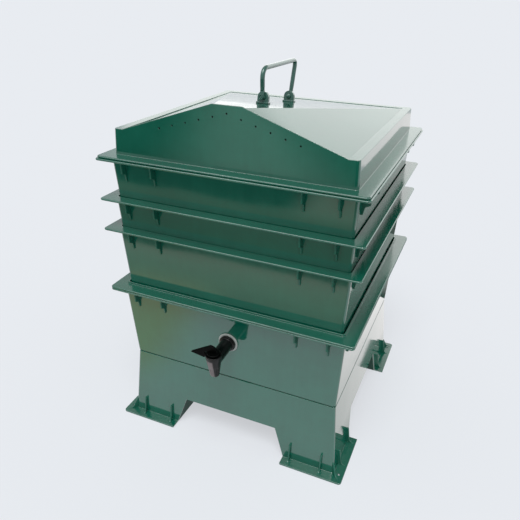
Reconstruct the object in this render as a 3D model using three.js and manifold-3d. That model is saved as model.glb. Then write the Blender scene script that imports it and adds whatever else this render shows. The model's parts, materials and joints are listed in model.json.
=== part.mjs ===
// Square stacking wormery: a stand, a sump with a tap, a drain insert, three nesting trays
// and a gabled lid with a folding handle. Millimetres, +Z up, +X to the right, front at -Y.
// The ground is at zero height.
import * as THREE from "three";
import { ConvexGeometry } from "three/addons/geometries/ConvexGeometry.js";
import { mergeVertices } from "three/addons/utils/BufferGeometryUtils.js";
import Module from "manifold-3d";

const wasm = await Module();
wasm.setup();

// Fits between pieces
const seatGap = 0.3; // between faces that rest on each other, and round bolts and screws
const nestGap = 0.64; // between the walls of two nested trays, on each side
const insertPlay = 2; // round the lowest tray in the insert
const sumpPlay = 1; // round the insert in the sump
const rimPlay = 0.8; // round the lid's locating rim in the upper tray
const spigotPlay = 0.6; // round the sump's spigot in the stand
const overrun = 5; // how far a cutter runs past what it cuts

// Flanges
const trayFlangeWidth = 495;
const sumpFlangeStep = 0.5; // how far the sump's and insert's flanges stand out past the trays'
const lidFlangeStep = 2.5; // how far the lid's flange stands back from the trays'
const flangeOverhang = 21; // from a wall's top to the flange's edge
const flangeThickness = 4;
const flangeCorner = 7; // radius in plan
const wallCorner = 6; // radius in plan

// Trays
const trayDepth = 150;
const trayWall = 2.5;
const trayFloor = 3;
const nestStep = 59.3; // from the lower tray's flange up to the middle tray's
const openStep = 74.5; // from the middle tray's flange up to the upper tray's
const postLeg = 34; // length of each leg of a corner post
const postWeb = 2.5;
const postSetback = 14; // from the wall's inner face to the post

// Perforated floors
const holesAcross = 8;
const holeSize = 11;
const holeMargin = 38; // from the wall's inner face to the centre of the outer holes
const drainsAcross = 7; // in the insert
const drainSize = 4;

// Webs under the flanges
const webDrop = 42;
const webReach = 17;
const webShoulder = 9.5; // width below the fillet
const webTip = 2.5; // width left at the thin end
const webThickness = 3;
const webFilletDrop = 13; // from the flange to the end of the fillet
const webFromCorner = 28.5;
const webPitch = 60; // between the two webs of a pair
const webSteps = 4;

// Insert
const insertDepth = 25.6; // from its flange to the floor that the lowest tray stands on
const insertWall = 2;
const insertFloor = 3;
const rimHeight = 4;
const rimWidth = 3;

// Sump
const sumpHeight = 162.7;
const sumpWall = 2.5;
const sumpFloor = 3;
const sumpFall = 18; // the floor's slope to the front
const seatThickness = 3; // of the ring that rests on the stand
const spigotDepth = 12;
const spigotWall = 2.5;

// Stand
const standHeight = 156;
const standWall = 3;
const standFlare = 13.2; // how much wider each side is at the ground
const footReach = 19.5;
const footLength = 127; // of each arm of a foot, from its outer corner
const footThickness = 4;
const footCorner = 6;
const footWebInset = 13.5; // from a foot arm's end to its first web
const footWebShoulder = 10.5;
const footWebTip = 9.5;
const footHole = 2.6; // radius
const footHoleInset = 22.5; // from the foot's outer edge along its arm
const archHeight = 67;
const archTopWidth = 204;
const finHeight = 26; // of the web on a foot's corner

// Lid
const lidFlange = 4;
const lidWall = 2.5;
const lidOverhang = 23.5; // from its wall's foot to its flange's edge
const lidLean = 2; // how much narrower each side is at the eave
const eaveHeight = 45; // above the flange
const ledgeWidth = 17.5;
const gableRise = 59; // above the eave
const ridgeWidth = 53;
const gableWall = 3;
const roofRecess = 2; // of the roof below the gable's edge and the ledge
const roofSkin = 2.5;
const lidRimDepth = 10;
const lidRimWall = 2.5;
const ventCount = 11;
const ventPitch = 25.2;
const ventRadius = 1.7;
const ventBelowRidge = 13;
const ventRowFall = 36; // from the middle vent to the last one

// Handle
const handleSetback = 206.5; // from the gable to the handle's middle
const earSpacing = 132;
const earWidth = 21;
const earThickness = 8;
const earPinHeight = 11.5;
const earFootWidth = 24;
const earFootDepth = 14;
const earFootThickness = 3.5;
const bailRod = 8.5; // diameter
const bailEyeRadius = 7;
const bailEyeThickness = 5;
const bailTongue = 15; // from the eye's centre up to the round rod
const bailFrontRise = 48; // from the pin up to the bar at the front
const bailRearRise = 70;
const bailFrontSpread = 7; // how far the bar's corner stands outside the eye
const bailRearSpread = 12;
const bailFrontBend = 20; // radius
const bailRearBend = 11;
const pinRadius = 2.4;
const pinHeadRadius = 5;
const pinHeadHeight = 3.6;
const nutRadius = 4.6;
const nutHeight = 4.2;
const screwRadius = 1.5;
const screwHeadRadius = 3.6;
const screwHeadHeight = 2.2;
const screwSpacing = 13;
const screwBite = 9; // into the ear

// Tap
const tapLevel = 90; // above the sump's lower edge
const tapReach = 60; // from the wall to the plug's axis
const tapRingRadius = 20;
const tapRingThickness = 3;
const tapCollarRadius = 16.5;
const tapCollarThickness = 4;
const tapBarrelRadius = 12.5;
const tapShankRadius = 12.5;
const tapBoreRadius = 8;
const tapSealRadius = 18;
const tapSealThickness = 2.5;
const tapNutRadius = 20;
const tapNutThickness = 8;
const tapNutLobes = 8;
const tapNutClearance = 2; // above the sump's floor
const tapShankSpare = 3; // past the nut
const valveTopRadius = 15;
const valveTop = 15; // above the barrel's axis
const spoutRadius = 8;
const spoutDrop = 35; // below the barrel's axis
const plugTopRadius = 10.4;
const plugBottomRadius = 6.2;
const plugBoreRadius = 4.6;
const plugEnd = 22; // below the barrel's axis
const plugCapRadius = 12;
const plugCapThickness = 4;
const leverLength = 47; // from the plug's axis to the tip
const leverTop = 34; // above the barrel's axis
const leverTipLevel = 8;
const leverHeelLevel = 3;
const leverThickness = 4.5;
const leverShoulder = 6; // from the axis to the wing's highest point
const leverBack = 9;
const leverPlay = 2.5; // between wing and valve

// Smoothness
const cornerSteps = 2;
const roundSides = 20;
const smallSides = 12;
const rodSides = 10;
const rodSteps = 30;
const nutSides = 6;
const ventSides = 6;
const domeSteps = 3;

// Drafts: the trays' walls lean just enough for the closer pair to nest without wedging
const wallDraft = (trayWall + nestGap) / Math.min(nestStep, openStep);

// Levels
const sumpBottom = standHeight + seatGap;
const sumpTop = sumpBottom + sumpHeight;
const insertTop = sumpTop + seatGap + flangeThickness;
const insertFloorTop = insertTop - insertDepth;
const lowerTop = insertFloorTop + seatGap + trayDepth;
const middleTop = lowerTop + nestStep;
const upperTop = middleTop + openStep;
const lidBottom = upperTop + seatGap;
const lidFlangeTop = lidBottom + lidFlange;
const eaveLevel = lidFlangeTop + eaveHeight;
const ridgeLevel = eaveLevel + gableRise;

// Flange widths that follow the trays'
const sumpFlangeWidth = trayFlangeWidth + 2 * sumpFlangeStep;
const lidFlangeWidth = trayFlangeWidth - 2 * lidFlangeStep;

// Half widths
const trayTopHalf = trayFlangeWidth / 2 - flangeOverhang;
const trayBottomHalf = trayTopHalf - wallDraft * trayDepth;
const trayFloorHalf = trayBottomHalf - trayWall;
const insertTopHalf = trayTopHalf - wallDraft * (lowerTop - insertTop) + insertPlay + insertWall;
const sumpTopHalf = insertTopHalf + sumpPlay + sumpWall;
const sumpBottomHalf = sumpTopHalf - wallDraft * sumpHeight;
const standBottomHalf = sumpBottomHalf + standFlare;
const footHalf = standBottomHalf + footReach;
const archBottomHalf = footHalf - footLength;
const standDraft = standFlare / standHeight;
const lidBaseHalf = lidFlangeWidth / 2 - lidOverhang;
const eaveHalf = lidBaseHalf - lidLean;
const ledgeHalf = eaveHalf - ledgeWidth;
const webOuter = trayTopHalf - webFromCorner;
const webInner = webOuter - webPitch;

// Finishes
const greenPlastic = new THREE.MeshStandardMaterial({ color: 0x14503c, roughness: 0.14, metalness: 0 });
const greenSteel = new THREE.MeshStandardMaterial({ color: 0x2c4f45, roughness: 0.25, metalness: 0.4 });
const zincSteel = new THREE.MeshStandardMaterial({ color: 0x9aa0a0, roughness: 0.35, metalness: 0.9 });
const blackPlastic = new THREE.MeshStandardMaterial({ color: 0x121413, roughness: 0.3, metalness: 0 });
const greyPlastic = new THREE.MeshStandardMaterial({ color: 0xa9aeab, roughness: 0.45, metalness: 0 });
const sealRubber = new THREE.MeshStandardMaterial({ color: 0x2a2a2a, roughness: 0.8, metalness: 0 });

// Turns a closed geometry into a solid that can be joined and cut.
function solid(geometry) {
  const bare = geometry.clone();
  bare.deleteAttribute("normal");
  bare.deleteAttribute("uv");
  const merged = mergeVertices(bare);
  const mesh = new wasm.Mesh({
    numProp: 3,
    vertProperties: merged.getAttribute("position").array,
    triVerts: new Uint32Array(merged.index.array),
  });
  return new wasm.Manifold(mesh);
}

// Joins a list of solids.
function joined(parts) {
  return parts.reduce((whole, part) => whole.add(part));
}

// A named mesh of a solid.
function meshOf(name, body, material) {
  const data = body.getMesh();
  const geometry = new THREE.BufferGeometry();
  geometry.setAttribute("position", new THREE.BufferAttribute(new Float32Array(data.vertProperties), 3));
  geometry.setIndex(new THREE.BufferAttribute(new Uint32Array(data.triVerts), 1));
  geometry.computeVertexNormals();
  const mesh = new THREE.Mesh(geometry, material);
  mesh.name = name;
  return mesh;
}

// A square outline with round corners.
function roundedSquare(half, radius) {
  const r = Math.min(radius, half / 2);
  const shape = new THREE.Shape();
  shape.moveTo(half, r - half);
  shape.lineTo(half, half - r);
  shape.absarc(half - r, half - r, r, 0, Math.PI / 2);
  shape.lineTo(r - half, half);
  shape.absarc(r - half, half - r, r, Math.PI / 2, Math.PI);
  shape.lineTo(-half, r - half);
  shape.absarc(r - half, r - half, r, Math.PI, 1.5 * Math.PI);
  shape.lineTo(half - r, -half);
  shape.absarc(half - r, r - half, r, 1.5 * Math.PI, 2 * Math.PI);
  return shape;
}

// A square block with round upright corners, whose sides lean from one half width to another.
function block({ lowHalf, highHalf = lowHalf, low, high, radius = wallCorner }) {
  const geometry = new THREE.ExtrudeGeometry(roundedSquare(highHalf, radius), {
    depth: high - low,
    bevelEnabled: false,
    curveSegments: cornerSteps,
  });
  geometry.translate(0, 0, low);
  const place = geometry.getAttribute("position");
  for (let i = 0; i < place.count; i++) {
    const half = lowHalf + ((highHalf - lowHalf) * (place.getZ(i) - low)) / (high - low);
    place.setXY(i, (place.getX(i) * half) / highHalf, (place.getY(i) * half) / highHalf);
  }
  return solid(geometry);
}

// A plain box from its lowest to its highest corner.
function bar([x0, y0, z0], [x1, y1, z1]) {
  const geometry = new THREE.BoxGeometry(x1 - x0, y1 - y0, z1 - z0);
  geometry.translate((x0 + x1) / 2, (y0 + y1) / 2, (z0 + z1) / 2);
  return solid(geometry);
}

// A prism of an outline drawn in X and Z, centred on the plane of X and Z.
function sidePrism(shape, thickness, curveSegments = webSteps) {
  const options = { depth: thickness, bevelEnabled: false, curveSegments };
  const geometry = new THREE.ExtrudeGeometry(shape, options);
  geometry.translate(0, 0, -thickness / 2);
  geometry.rotateX(Math.PI / 2);
  return geometry;
}

// A round bar or cone along Y, from one place and radius to another.
function roundAlongY(y0, y1, radius0, radius1 = radius0, sides = roundSides) {
  const geometry = new THREE.CylinderGeometry(radius1, radius0, y1 - y0, sides);
  geometry.translate(0, (y0 + y1) / 2, 0);
  return solid(geometry);
}

// A round bar or cone along Z.
function roundAlongZ(z0, z1, radius0, radius1 = radius0, sides = roundSides) {
  const geometry = new THREE.CylinderGeometry(radius1, radius0, z1 - z0, sides);
  geometry.rotateX(Math.PI / 2);
  geometry.translate(0, 0, (z0 + z1) / 2);
  return solid(geometry);
}

// A ring along Y between two radii.
function ringAlongY(y0, y1, outer, inner, outerSides = roundSides, innerSides = roundSides) {
  const hole = roundAlongY(y0 - overrun, y1 + overrun, inner, inner, innerSides);
  return roundAlongY(y0, y1, outer, outer, outerSides).subtract(hole);
}

// One thin web in the angle between a wall and a flange, with a filleted outer edge.
// It stands up from the flange; the wall leans away from it by the given slope.
function webGeometry({ reach, rise, fillet, shoulder, tip, slope, root }) {
  const shape = new THREE.Shape();
  shape.moveTo(-root, 0);
  shape.lineTo(reach, 0);
  shape.quadraticCurveTo(shoulder, 0, shoulder - slope * fillet, fillet);
  shape.lineTo(tip - slope * rise, rise);
  shape.lineTo(-root - slope * rise, rise);
  shape.closePath();
  return sidePrism(shape, webThickness);
}

// Copies of a web along all four walls, at the given places to each side of the middle.
function websRound(geometry, { half, level, places, hanging }) {
  const turned = geometry.clone();
  if (hanging) turned.rotateX(Math.PI);
  const webs = [];
  for (let side = 0; side < 4; side++) {
    for (const place of places.flatMap((p) => [p, -p])) {
      const copy = turned.clone();
      copy.translate(half, place, level);
      copy.rotateZ((side * Math.PI) / 2);
      webs.push(solid(copy));
    }
  }
  return webs;
}

// The eight pairs of webs that hang under a flange.
function flangeWebs(half, flangeTop, wall) {
  const geometry = webGeometry({
    reach: webReach,
    rise: webDrop,
    fillet: webFilletDrop,
    shoulder: webShoulder,
    tip: webTip,
    slope: wallDraft,
    root: wall / 2,
  });
  const level = flangeTop - flangeThickness;
  const atFlange = half - wallDraft * flangeThickness;
  return websRound(geometry, { half: atFlange, level, places: [webInner, webOuter], hanging: true });
}

// Square holes in rows across a floor.
function floorHoles(across, size, reach, low, high) {
  const pitch = (2 * reach) / (across - 1);
  const holes = [];
  for (let i = 0; i < across; i++) {
    for (let j = 0; j < across; j++) {
      const x = i * pitch - reach;
      const y = j * pitch - reach;
      holes.push(
        bar([x - size / 2, y - size / 2, low - overrun], [x + size / 2, y + size / 2, high + overrun]),
      );
    }
  }
  return joined(holes);
}

// The angle posts that the next tray stands on, one in each corner of a floor.
function cornerPosts(low, high) {
  const far = trayFloorHalf - postSetback;
  const near = far - postLeg;
  const posts = [];
  for (const sx of [1, -1]) {
    for (const sy of [1, -1]) {
      const span = (a, b, s) => (s > 0 ? [a, b] : [-b, -a]);
      const [x0, x1] = span(near, far, sx);
      const [y0, y1] = span(near, far, sy);
      const [xWeb0, xWeb1] = span(far - postWeb, far, sx);
      const [yWeb0, yWeb1] = span(far - postWeb, far, sy);
      posts.push(bar([x0, yWeb0, low], [x1, yWeb1, high]), bar([xWeb0, y0, low], [xWeb1, y1, high]));
    }
  }
  return posts;
}

// A composting tray: leaning walls, a flange with webs, a perforated floor and corner posts.
function tray(name, top, step) {
  const bottom = top - trayDepth;
  const floorTop = bottom + trayFloor;
  const walls = block({ lowHalf: trayBottomHalf, highHalf: trayTopHalf, low: bottom, high: top });
  const flange = block({
    lowHalf: trayFlangeWidth / 2,
    low: top - flangeThickness,
    high: top,
    radius: flangeCorner,
  });
  const spanTop = top + overrun;
  const hollow = block({
    lowHalf: trayTopHalf - trayWall - wallDraft * (top - floorTop),
    highHalf: trayTopHalf - trayWall + wallDraft * overrun,
    low: floorTop,
    high: spanTop,
  });
  const posts = cornerPosts(floorTop - trayFloor / 2, floorTop + step - trayFloor - seatGap);
  const holes = floorHoles(holesAcross, holeSize, trayFloorHalf - holeMargin, bottom, floorTop);
  const shell = joined([walls, flange, ...flangeWebs(trayTopHalf, top, trayWall)]).subtract(hollow);
  return meshOf(name, joined([shell, ...posts]).subtract(holes), greenPlastic);
}

// The drain insert: a shallow perforated tray that hangs in the sump by its flange.
function insert() {
  const floorBottom = insertFloorTop - insertFloor;
  const wallLow = insertTopHalf - wallDraft * (insertTop - floorBottom);
  const walls = block({ lowHalf: wallLow, highHalf: insertTopHalf, low: floorBottom, high: insertTop });
  const flange = block({
    lowHalf: sumpFlangeWidth / 2,
    low: insertTop - flangeThickness,
    high: insertTop,
    radius: flangeCorner,
  });
  const rimHalf = insertTopHalf - insertWall + rimWidth;
  const rim = block({ lowHalf: rimHalf, low: insertTop - flangeThickness, high: insertTop + rimHeight });
  const rise = rimHeight + overrun;
  const hollow = block({
    lowHalf: insertTopHalf - insertWall - wallDraft * insertDepth,
    highHalf: insertTopHalf - insertWall + wallDraft * rise,
    low: insertFloorTop,
    high: insertTop + rise,
  });
  const reach = trayFloorHalf - holeMargin;
  const drains = floorHoles(drainsAcross, drainSize, reach, floorBottom, insertFloorTop);
  const body = joined([walls, flange, rim]).subtract(hollow).subtract(drains);
  return meshOf("sump_insert", body, greenPlastic);
}

// Everything below a plane that falls to the front, from one level at the front to another at the back.
function belowSlope(frontLevel, backLevel) {
  const far = sumpTopHalf;
  const fall = backLevel - frontLevel;
  const shape = new THREE.Shape();
  shape.moveTo(-far - overrun, -overrun);
  shape.lineTo(far + overrun, -overrun);
  shape.lineTo(far + overrun, backLevel + (fall * overrun) / (2 * far));
  shape.lineTo(-far - overrun, frontLevel - (fall * overrun) / (2 * far));
  shape.closePath();
  const geometry = sidePrism(shape, 2 * (far + overrun));
  geometry.rotateZ(Math.PI / 2);
  return solid(geometry);
}

const tapZ = sumpBottom + tapLevel;
const tapWallHalf = sumpTopHalf - wallDraft * (sumpTop - tapZ);
const sumpFloorFront = tapZ - tapNutRadius - tapNutClearance;
const sumpFloorBack = sumpFloorFront + sumpFall;

// The frame of the tap: on the wall's outer face, with the barrel square to the leaning wall.
function tapFrame() {
  const group = new THREE.Group();
  group.position.set(0, -tapWallHalf, tapZ);
  group.rotation.x = Math.atan(wallDraft);
  return group;
}

// The sump: a walled basin with a sloping floor, on a spigot that drops into the stand.
function sump() {
  const wallOuter = block({
    lowHalf: sumpBottomHalf,
    highHalf: sumpTopHalf,
    low: sumpBottom,
    high: sumpTop,
  });
  const flange = block({
    lowHalf: sumpFlangeWidth / 2,
    low: sumpTop - flangeThickness,
    high: sumpTop,
    radius: flangeCorner,
  });
  const spigotHalf = sumpBottomHalf - standWall - spigotPlay;
  const spigot = block({
    lowHalf: spigotHalf,
    low: sumpBottom - spigotDepth,
    high: sumpBottom + seatThickness,
  });
  const basin = block({
    lowHalf: sumpTopHalf - sumpWall - wallDraft * (sumpTop - sumpFloorFront),
    highHalf: sumpTopHalf - sumpWall + wallDraft * overrun,
    low: sumpFloorFront,
    high: sumpTop + overrun,
  }).subtract(belowSlope(sumpFloorFront, sumpFloorBack));
  const underHalf = sumpBottomHalf - sumpWall;
  const under = block({
    lowHalf: underHalf,
    low: sumpBottom + seatThickness,
    high: sumpFloorBack,
  }).intersect(belowSlope(sumpFloorFront - sumpFloor, sumpFloorBack - sumpFloor));
  const mouth = block({
    lowHalf: spigotHalf - spigotWall,
    low: sumpBottom - spigotDepth - overrun,
    high: sumpBottom + seatThickness + overrun,
  });
  const tapHole = new THREE.CylinderGeometry(
    tapShankRadius + seatGap,
    tapShankRadius + seatGap,
    sumpWall + 2 * overrun,
    roundSides,
  );
  const frame = tapFrame();
  frame.updateMatrix();
  tapHole.translate(0, sumpWall / 2, 0);
  tapHole.applyMatrix4(frame.matrix);
  const webs = flangeWebs(sumpTopHalf, sumpTop, sumpWall);
  const body = joined([wallOuter, flange, spigot, ...webs])
    .subtract(basin)
    .subtract(under)
    .subtract(mouth)
    .subtract(solid(tapHole));
  return meshOf("sump_tray", body, greenPlastic);
}

// The trapezoid opening between two legs, running right through the stand along Y.
function arch() {
  const slope = (archBottomHalf - archTopWidth / 2) / archHeight;
  const shape = new THREE.Shape();
  shape.moveTo(-archBottomHalf - slope * overrun, -overrun);
  shape.lineTo(archBottomHalf + slope * overrun, -overrun);
  shape.lineTo(archTopWidth / 2, archHeight);
  shape.lineTo(-archTopWidth / 2, archHeight);
  shape.closePath();
  return sidePrism(shape, 2 * (footHalf + overrun));
}

// The stand: a flared skirt with an arch in each side and a flanged foot at each corner.
function stand() {
  const skirt = block({ lowHalf: standBottomHalf, highHalf: sumpBottomHalf, low: 0, high: standHeight });
  const feet = block({ lowHalf: footHalf, low: 0, high: footThickness, radius: footCorner });
  const hollow = block({
    lowHalf: standBottomHalf - standWall + standDraft * overrun,
    highHalf: sumpBottomHalf - standWall - standDraft * overrun,
    low: -overrun,
    high: standHeight + overrun,
  });
  const archGeometry = arch();
  const archAcross = archGeometry.clone().rotateZ(Math.PI / 2);
  const wallHalf = standBottomHalf - standDraft * footThickness;
  const webBase = { fillet: webFilletDrop, slope: standDraft, root: standWall / 2 };
  const footWeb = webGeometry({
    ...webBase,
    reach: footReach - webTip,
    rise: webDrop,
    shoulder: footWebShoulder,
    tip: footWebTip,
  });
  const webs = websRound(footWeb, {
    half: wallHalf,
    level: footThickness,
    places: [archBottomHalf + footWebInset, standBottomHalf - webFromCorner],
  });
  const finReach = footReach * Math.SQRT2 - footCorner;
  const finHalf = wallHalf * Math.SQRT2 - wallCorner / 2;
  const finWeb = webGeometry({
    ...webBase,
    reach: finReach,
    rise: finHeight,
    shoulder: webShoulder,
    tip: webTip,
  });
  finWeb.translate(finHalf, 0, footThickness);
  const fins = [];
  const holes = [];
  for (let corner = 0; corner < 4; corner++) {
    fins.push(solid(finWeb.clone().rotateZ(((corner + 1 / 2) * Math.PI) / 2)));
  }
  for (const sx of [1, -1]) {
    for (const sy of [1, -1]) {
      const hole = new THREE.CylinderGeometry(footHole, footHole, footThickness + 2 * overrun, smallSides);
      hole.rotateX(Math.PI / 2);
      hole.translate(sx * (footHalf - footReach / 2), sy * (footHalf - footHoleInset), footThickness / 2);
      holes.push(solid(hole));
    }
  }
  const body = joined([skirt, feet, ...webs, ...fins])
    .subtract(hollow)
    .subtract(solid(archGeometry))
    .subtract(solid(archAcross))
    .subtract(joined(holes));
  return meshOf("stand", body, greenPlastic);
}

// The gable goes on in the plane of the leaning front wall. This is its inner face at a level.
function roofFrontAt(level) {
  return gableWall - eaveHalf + (lidLean / eaveHeight) * (level - eaveLevel);
}

const roofFront = roofFrontAt(ridgeLevel);
const roofAngle = Math.atan(gableRise / (ledgeHalf - roofFront));

// The roof's convex body: two side facets and one long back facet, lowered by a given amount
// and carried on to the front by another.
function roofBody(drop, onward) {
  const points = [];
  const eave = eaveLevel - roofRecess - drop;
  const low = eaveLevel - roofRecess - roofSkin - overrun;
  for (const s of [1, -1]) {
    const ridge = ridgeLevel - roofRecess - drop;
    points.push(new THREE.Vector3((s * ridgeWidth) / 2, roofFrontAt(ridge) - onward, ridge));
    for (const level of [eave, low]) {
      points.push(new THREE.Vector3(s * ledgeHalf, roofFrontAt(level) - onward, level));
      points.push(new THREE.Vector3(s * ledgeHalf, ledgeHalf, level));
    }
  }
  return solid(new ConvexGeometry(points));
}

// The gable above the eave, a thin wall that leans with the front wall below it.
function gable() {
  const shape = new THREE.Shape();
  shape.moveTo(-ledgeHalf, eaveLevel - roofRecess);
  shape.lineTo(ledgeHalf, eaveLevel - roofRecess);
  shape.lineTo(ledgeHalf, eaveLevel);
  shape.lineTo(ridgeWidth / 2, ridgeLevel);
  shape.lineTo(-ridgeWidth / 2, ridgeLevel);
  shape.lineTo(-ledgeHalf, eaveLevel);
  shape.closePath();
  const geometry = sidePrism(shape, gableWall);
  const place = geometry.getAttribute("position");
  for (let i = 0; i < place.count; i++) {
    place.setY(i, place.getY(i) + roofFrontAt(place.getZ(i)) - gableWall / 2);
  }
  return solid(geometry);
}

// The row of vent holes under the gable's edge.
function vents() {
  const holes = [];
  const middle = (ventCount - 1) / 2;
  for (let i = 0; i < ventCount; i++) {
    const stepOut = Math.abs(i - middle) / middle;
    const hole = new THREE.CylinderGeometry(ventRadius, ventRadius, gableWall + 2 * overrun, ventSides);
    const level = ridgeLevel - ventBelowRidge - ventRowFall * stepOut;
    hole.translate((i - middle) * ventPitch, roofFrontAt(level), level);
    holes.push(solid(hole));
  }
  return joined(holes);
}

// The lid: flange, leaning walls up to a ledge, a recessed roof behind a tall front gable.
function lid() {
  const rimHalf = trayTopHalf - wallDraft * lidRimDepth - trayWall - rimPlay;
  const flange = block({
    lowHalf: lidFlangeWidth / 2,
    low: lidBottom,
    high: lidFlangeTop,
    radius: flangeCorner,
  });
  const rim = block({ lowHalf: rimHalf, low: lidBottom - lidRimDepth, high: lidFlangeTop });
  const walls = block({ lowHalf: lidBaseHalf, highHalf: eaveHalf, low: lidFlangeTop, high: eaveLevel });
  const pocket = bar(
    [-ledgeHalf, -eaveHalf - overrun, eaveLevel - roofRecess],
    [ledgeHalf, ledgeHalf, eaveLevel + overrun],
  );
  const mouthHalf = Math.min(rimHalf - lidRimWall, lidBaseHalf - lidWall);
  const mouth = block({
    lowHalf: mouthHalf,
    low: lidBottom - lidRimDepth - overrun,
    high: lidFlangeTop + lidWall,
  });
  const hollow = block({
    lowHalf: lidBaseHalf - lidWall,
    highHalf: eaveHalf - lidWall,
    low: lidFlangeTop,
    high: eaveLevel - roofRecess - roofSkin,
  });
  const frame = handleFrame();
  frame.updateMatrix();
  const screwHoles = [];
  for (const end of [1, -1]) {
    for (const side of [1, -1]) {
      const hole = new THREE.CylinderGeometry(
        screwRadius + seatGap,
        screwRadius + seatGap,
        roofSkin + 2 * overrun,
        smallSides,
      );
      hole.rotateX(Math.PI / 2);
      hole.translate((side * screwSpacing) / 2, (end * earSpacing) / 2, 0);
      hole.applyMatrix4(frame.matrix);
      screwHoles.push(solid(hole));
    }
  }
  const body = joined([flange, rim, walls])
    .subtract(pocket)
    .add(roofBody(0, gableWall / 2))
    .add(gable())
    .subtract(mouth)
    .subtract(hollow)
    .subtract(roofBody(roofSkin, 0))
    .subtract(vents())
    .subtract(joined(screwHoles));
  return meshOf("lid", body, greenPlastic);
}

// The frame of the handle: on the back facet, Y along its slope and Z square to it.
function handleFrame() {
  const group = new THREE.Group();
  group.position.set(
    0,
    roofFront + handleSetback,
    ridgeLevel - roofRecess - Math.tan(roofAngle) * handleSetback,
  );
  group.rotation.x = -roofAngle;
  return group;
}

// An ear on its foot, with the bolt's bore and two screw holes from below.
function bracket(name, end) {
  const half = earWidth / 2;
  const shape = new THREE.Shape();
  shape.moveTo(-half, seatGap);
  shape.lineTo(half, seatGap);
  shape.lineTo(half, earPinHeight);
  shape.absarc(0, earPinHeight, half, 0, Math.PI);
  shape.closePath();
  const ear = solid(sidePrism(shape, earThickness, smallSides / 2));
  const foot = bar(
    [-earFootWidth / 2, -earFootDepth / 2, seatGap],
    [earFootWidth / 2, earFootDepth / 2, seatGap + earFootThickness],
  );
  const bore = new THREE.CylinderGeometry(
    pinRadius + seatGap,
    pinRadius + seatGap,
    earThickness + 2 * overrun,
    smallSides,
  );
  bore.translate(0, 0, earPinHeight);
  let body = ear.add(foot).subtract(solid(bore));
  for (const side of [1, -1]) {
    const radius = screwRadius + seatGap;
    const hole = roundAlongZ(-overrun, screwBite + 2 * seatGap, radius, radius, smallSides);
    body = body.subtract(hole.translate([(side * screwSpacing) / 2, 0, 0]));
  }
  const mesh = meshOf(name, body, greenSteel);
  mesh.position.y = (end * earSpacing) / 2;
  return mesh;
}

// A screw up through the roof into an ear.
function bracketScrew(name, end, side) {
  const skin = roofSkin * Math.cos(roofAngle) + seatGap;
  const headEnd = -skin - screwHeadHeight;
  const head = roundAlongZ(headEnd, -skin, screwHeadRadius / 2, screwHeadRadius, smallSides);
  const shank = roundAlongZ(headEnd / 2 - skin / 2, screwBite, screwRadius, screwRadius, smallSides);
  const mesh = meshOf(name, head.add(shank), zincSteel);
  mesh.position.set((side * screwSpacing) / 2, (end * earSpacing) / 2, 0);
  return mesh;
}

const eyeInner = earThickness / 2 + seatGap;
const eyeOuter = eyeInner + bailEyeThickness;
const nutInner = eyeOuter + seatGap;

// The bolt of one ear: a domed head on the inner side and a plain shank to the nut.
function bolt(name, end) {
  const headFace = earThickness / 2 + seatGap;
  const profile = [new THREE.Vector2(0, -pinHeadHeight)];
  for (let i = domeSteps - 1; i >= 0; i--) {
    const angle = (i * Math.PI) / 2 / domeSteps;
    profile.push(new THREE.Vector2(pinHeadRadius * Math.cos(angle), -pinHeadHeight * Math.sin(angle)));
  }
  profile.push(new THREE.Vector2(0, 0));
  const headGeometry = new THREE.LatheGeometry(profile, smallSides);
  headGeometry.translate(0, -headFace, 0);
  const shank = roundAlongY(-headFace - seatGap, nutInner + nutHeight, pinRadius, pinRadius, smallSides);
  const mesh = meshOf(name, solid(headGeometry).add(shank), zincSteel);
  mesh.position.set(0, (end * earSpacing) / 2, earPinHeight);
  mesh.rotation.z = end > 0 ? 0 : Math.PI;
  return mesh;
}

// The nut outside one eye.
function nut(name, end) {
  const hole = pinRadius + seatGap;
  const body = ringAlongY(nutInner, nutInner + nutHeight, nutRadius, hole, nutSides, smallSides);
  const mesh = meshOf(name, body, zincSteel);
  mesh.position.set(0, (end * earSpacing) / 2, earPinHeight);
  mesh.rotation.z = end > 0 ? 0 : Math.PI;
  return mesh;
}

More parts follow.
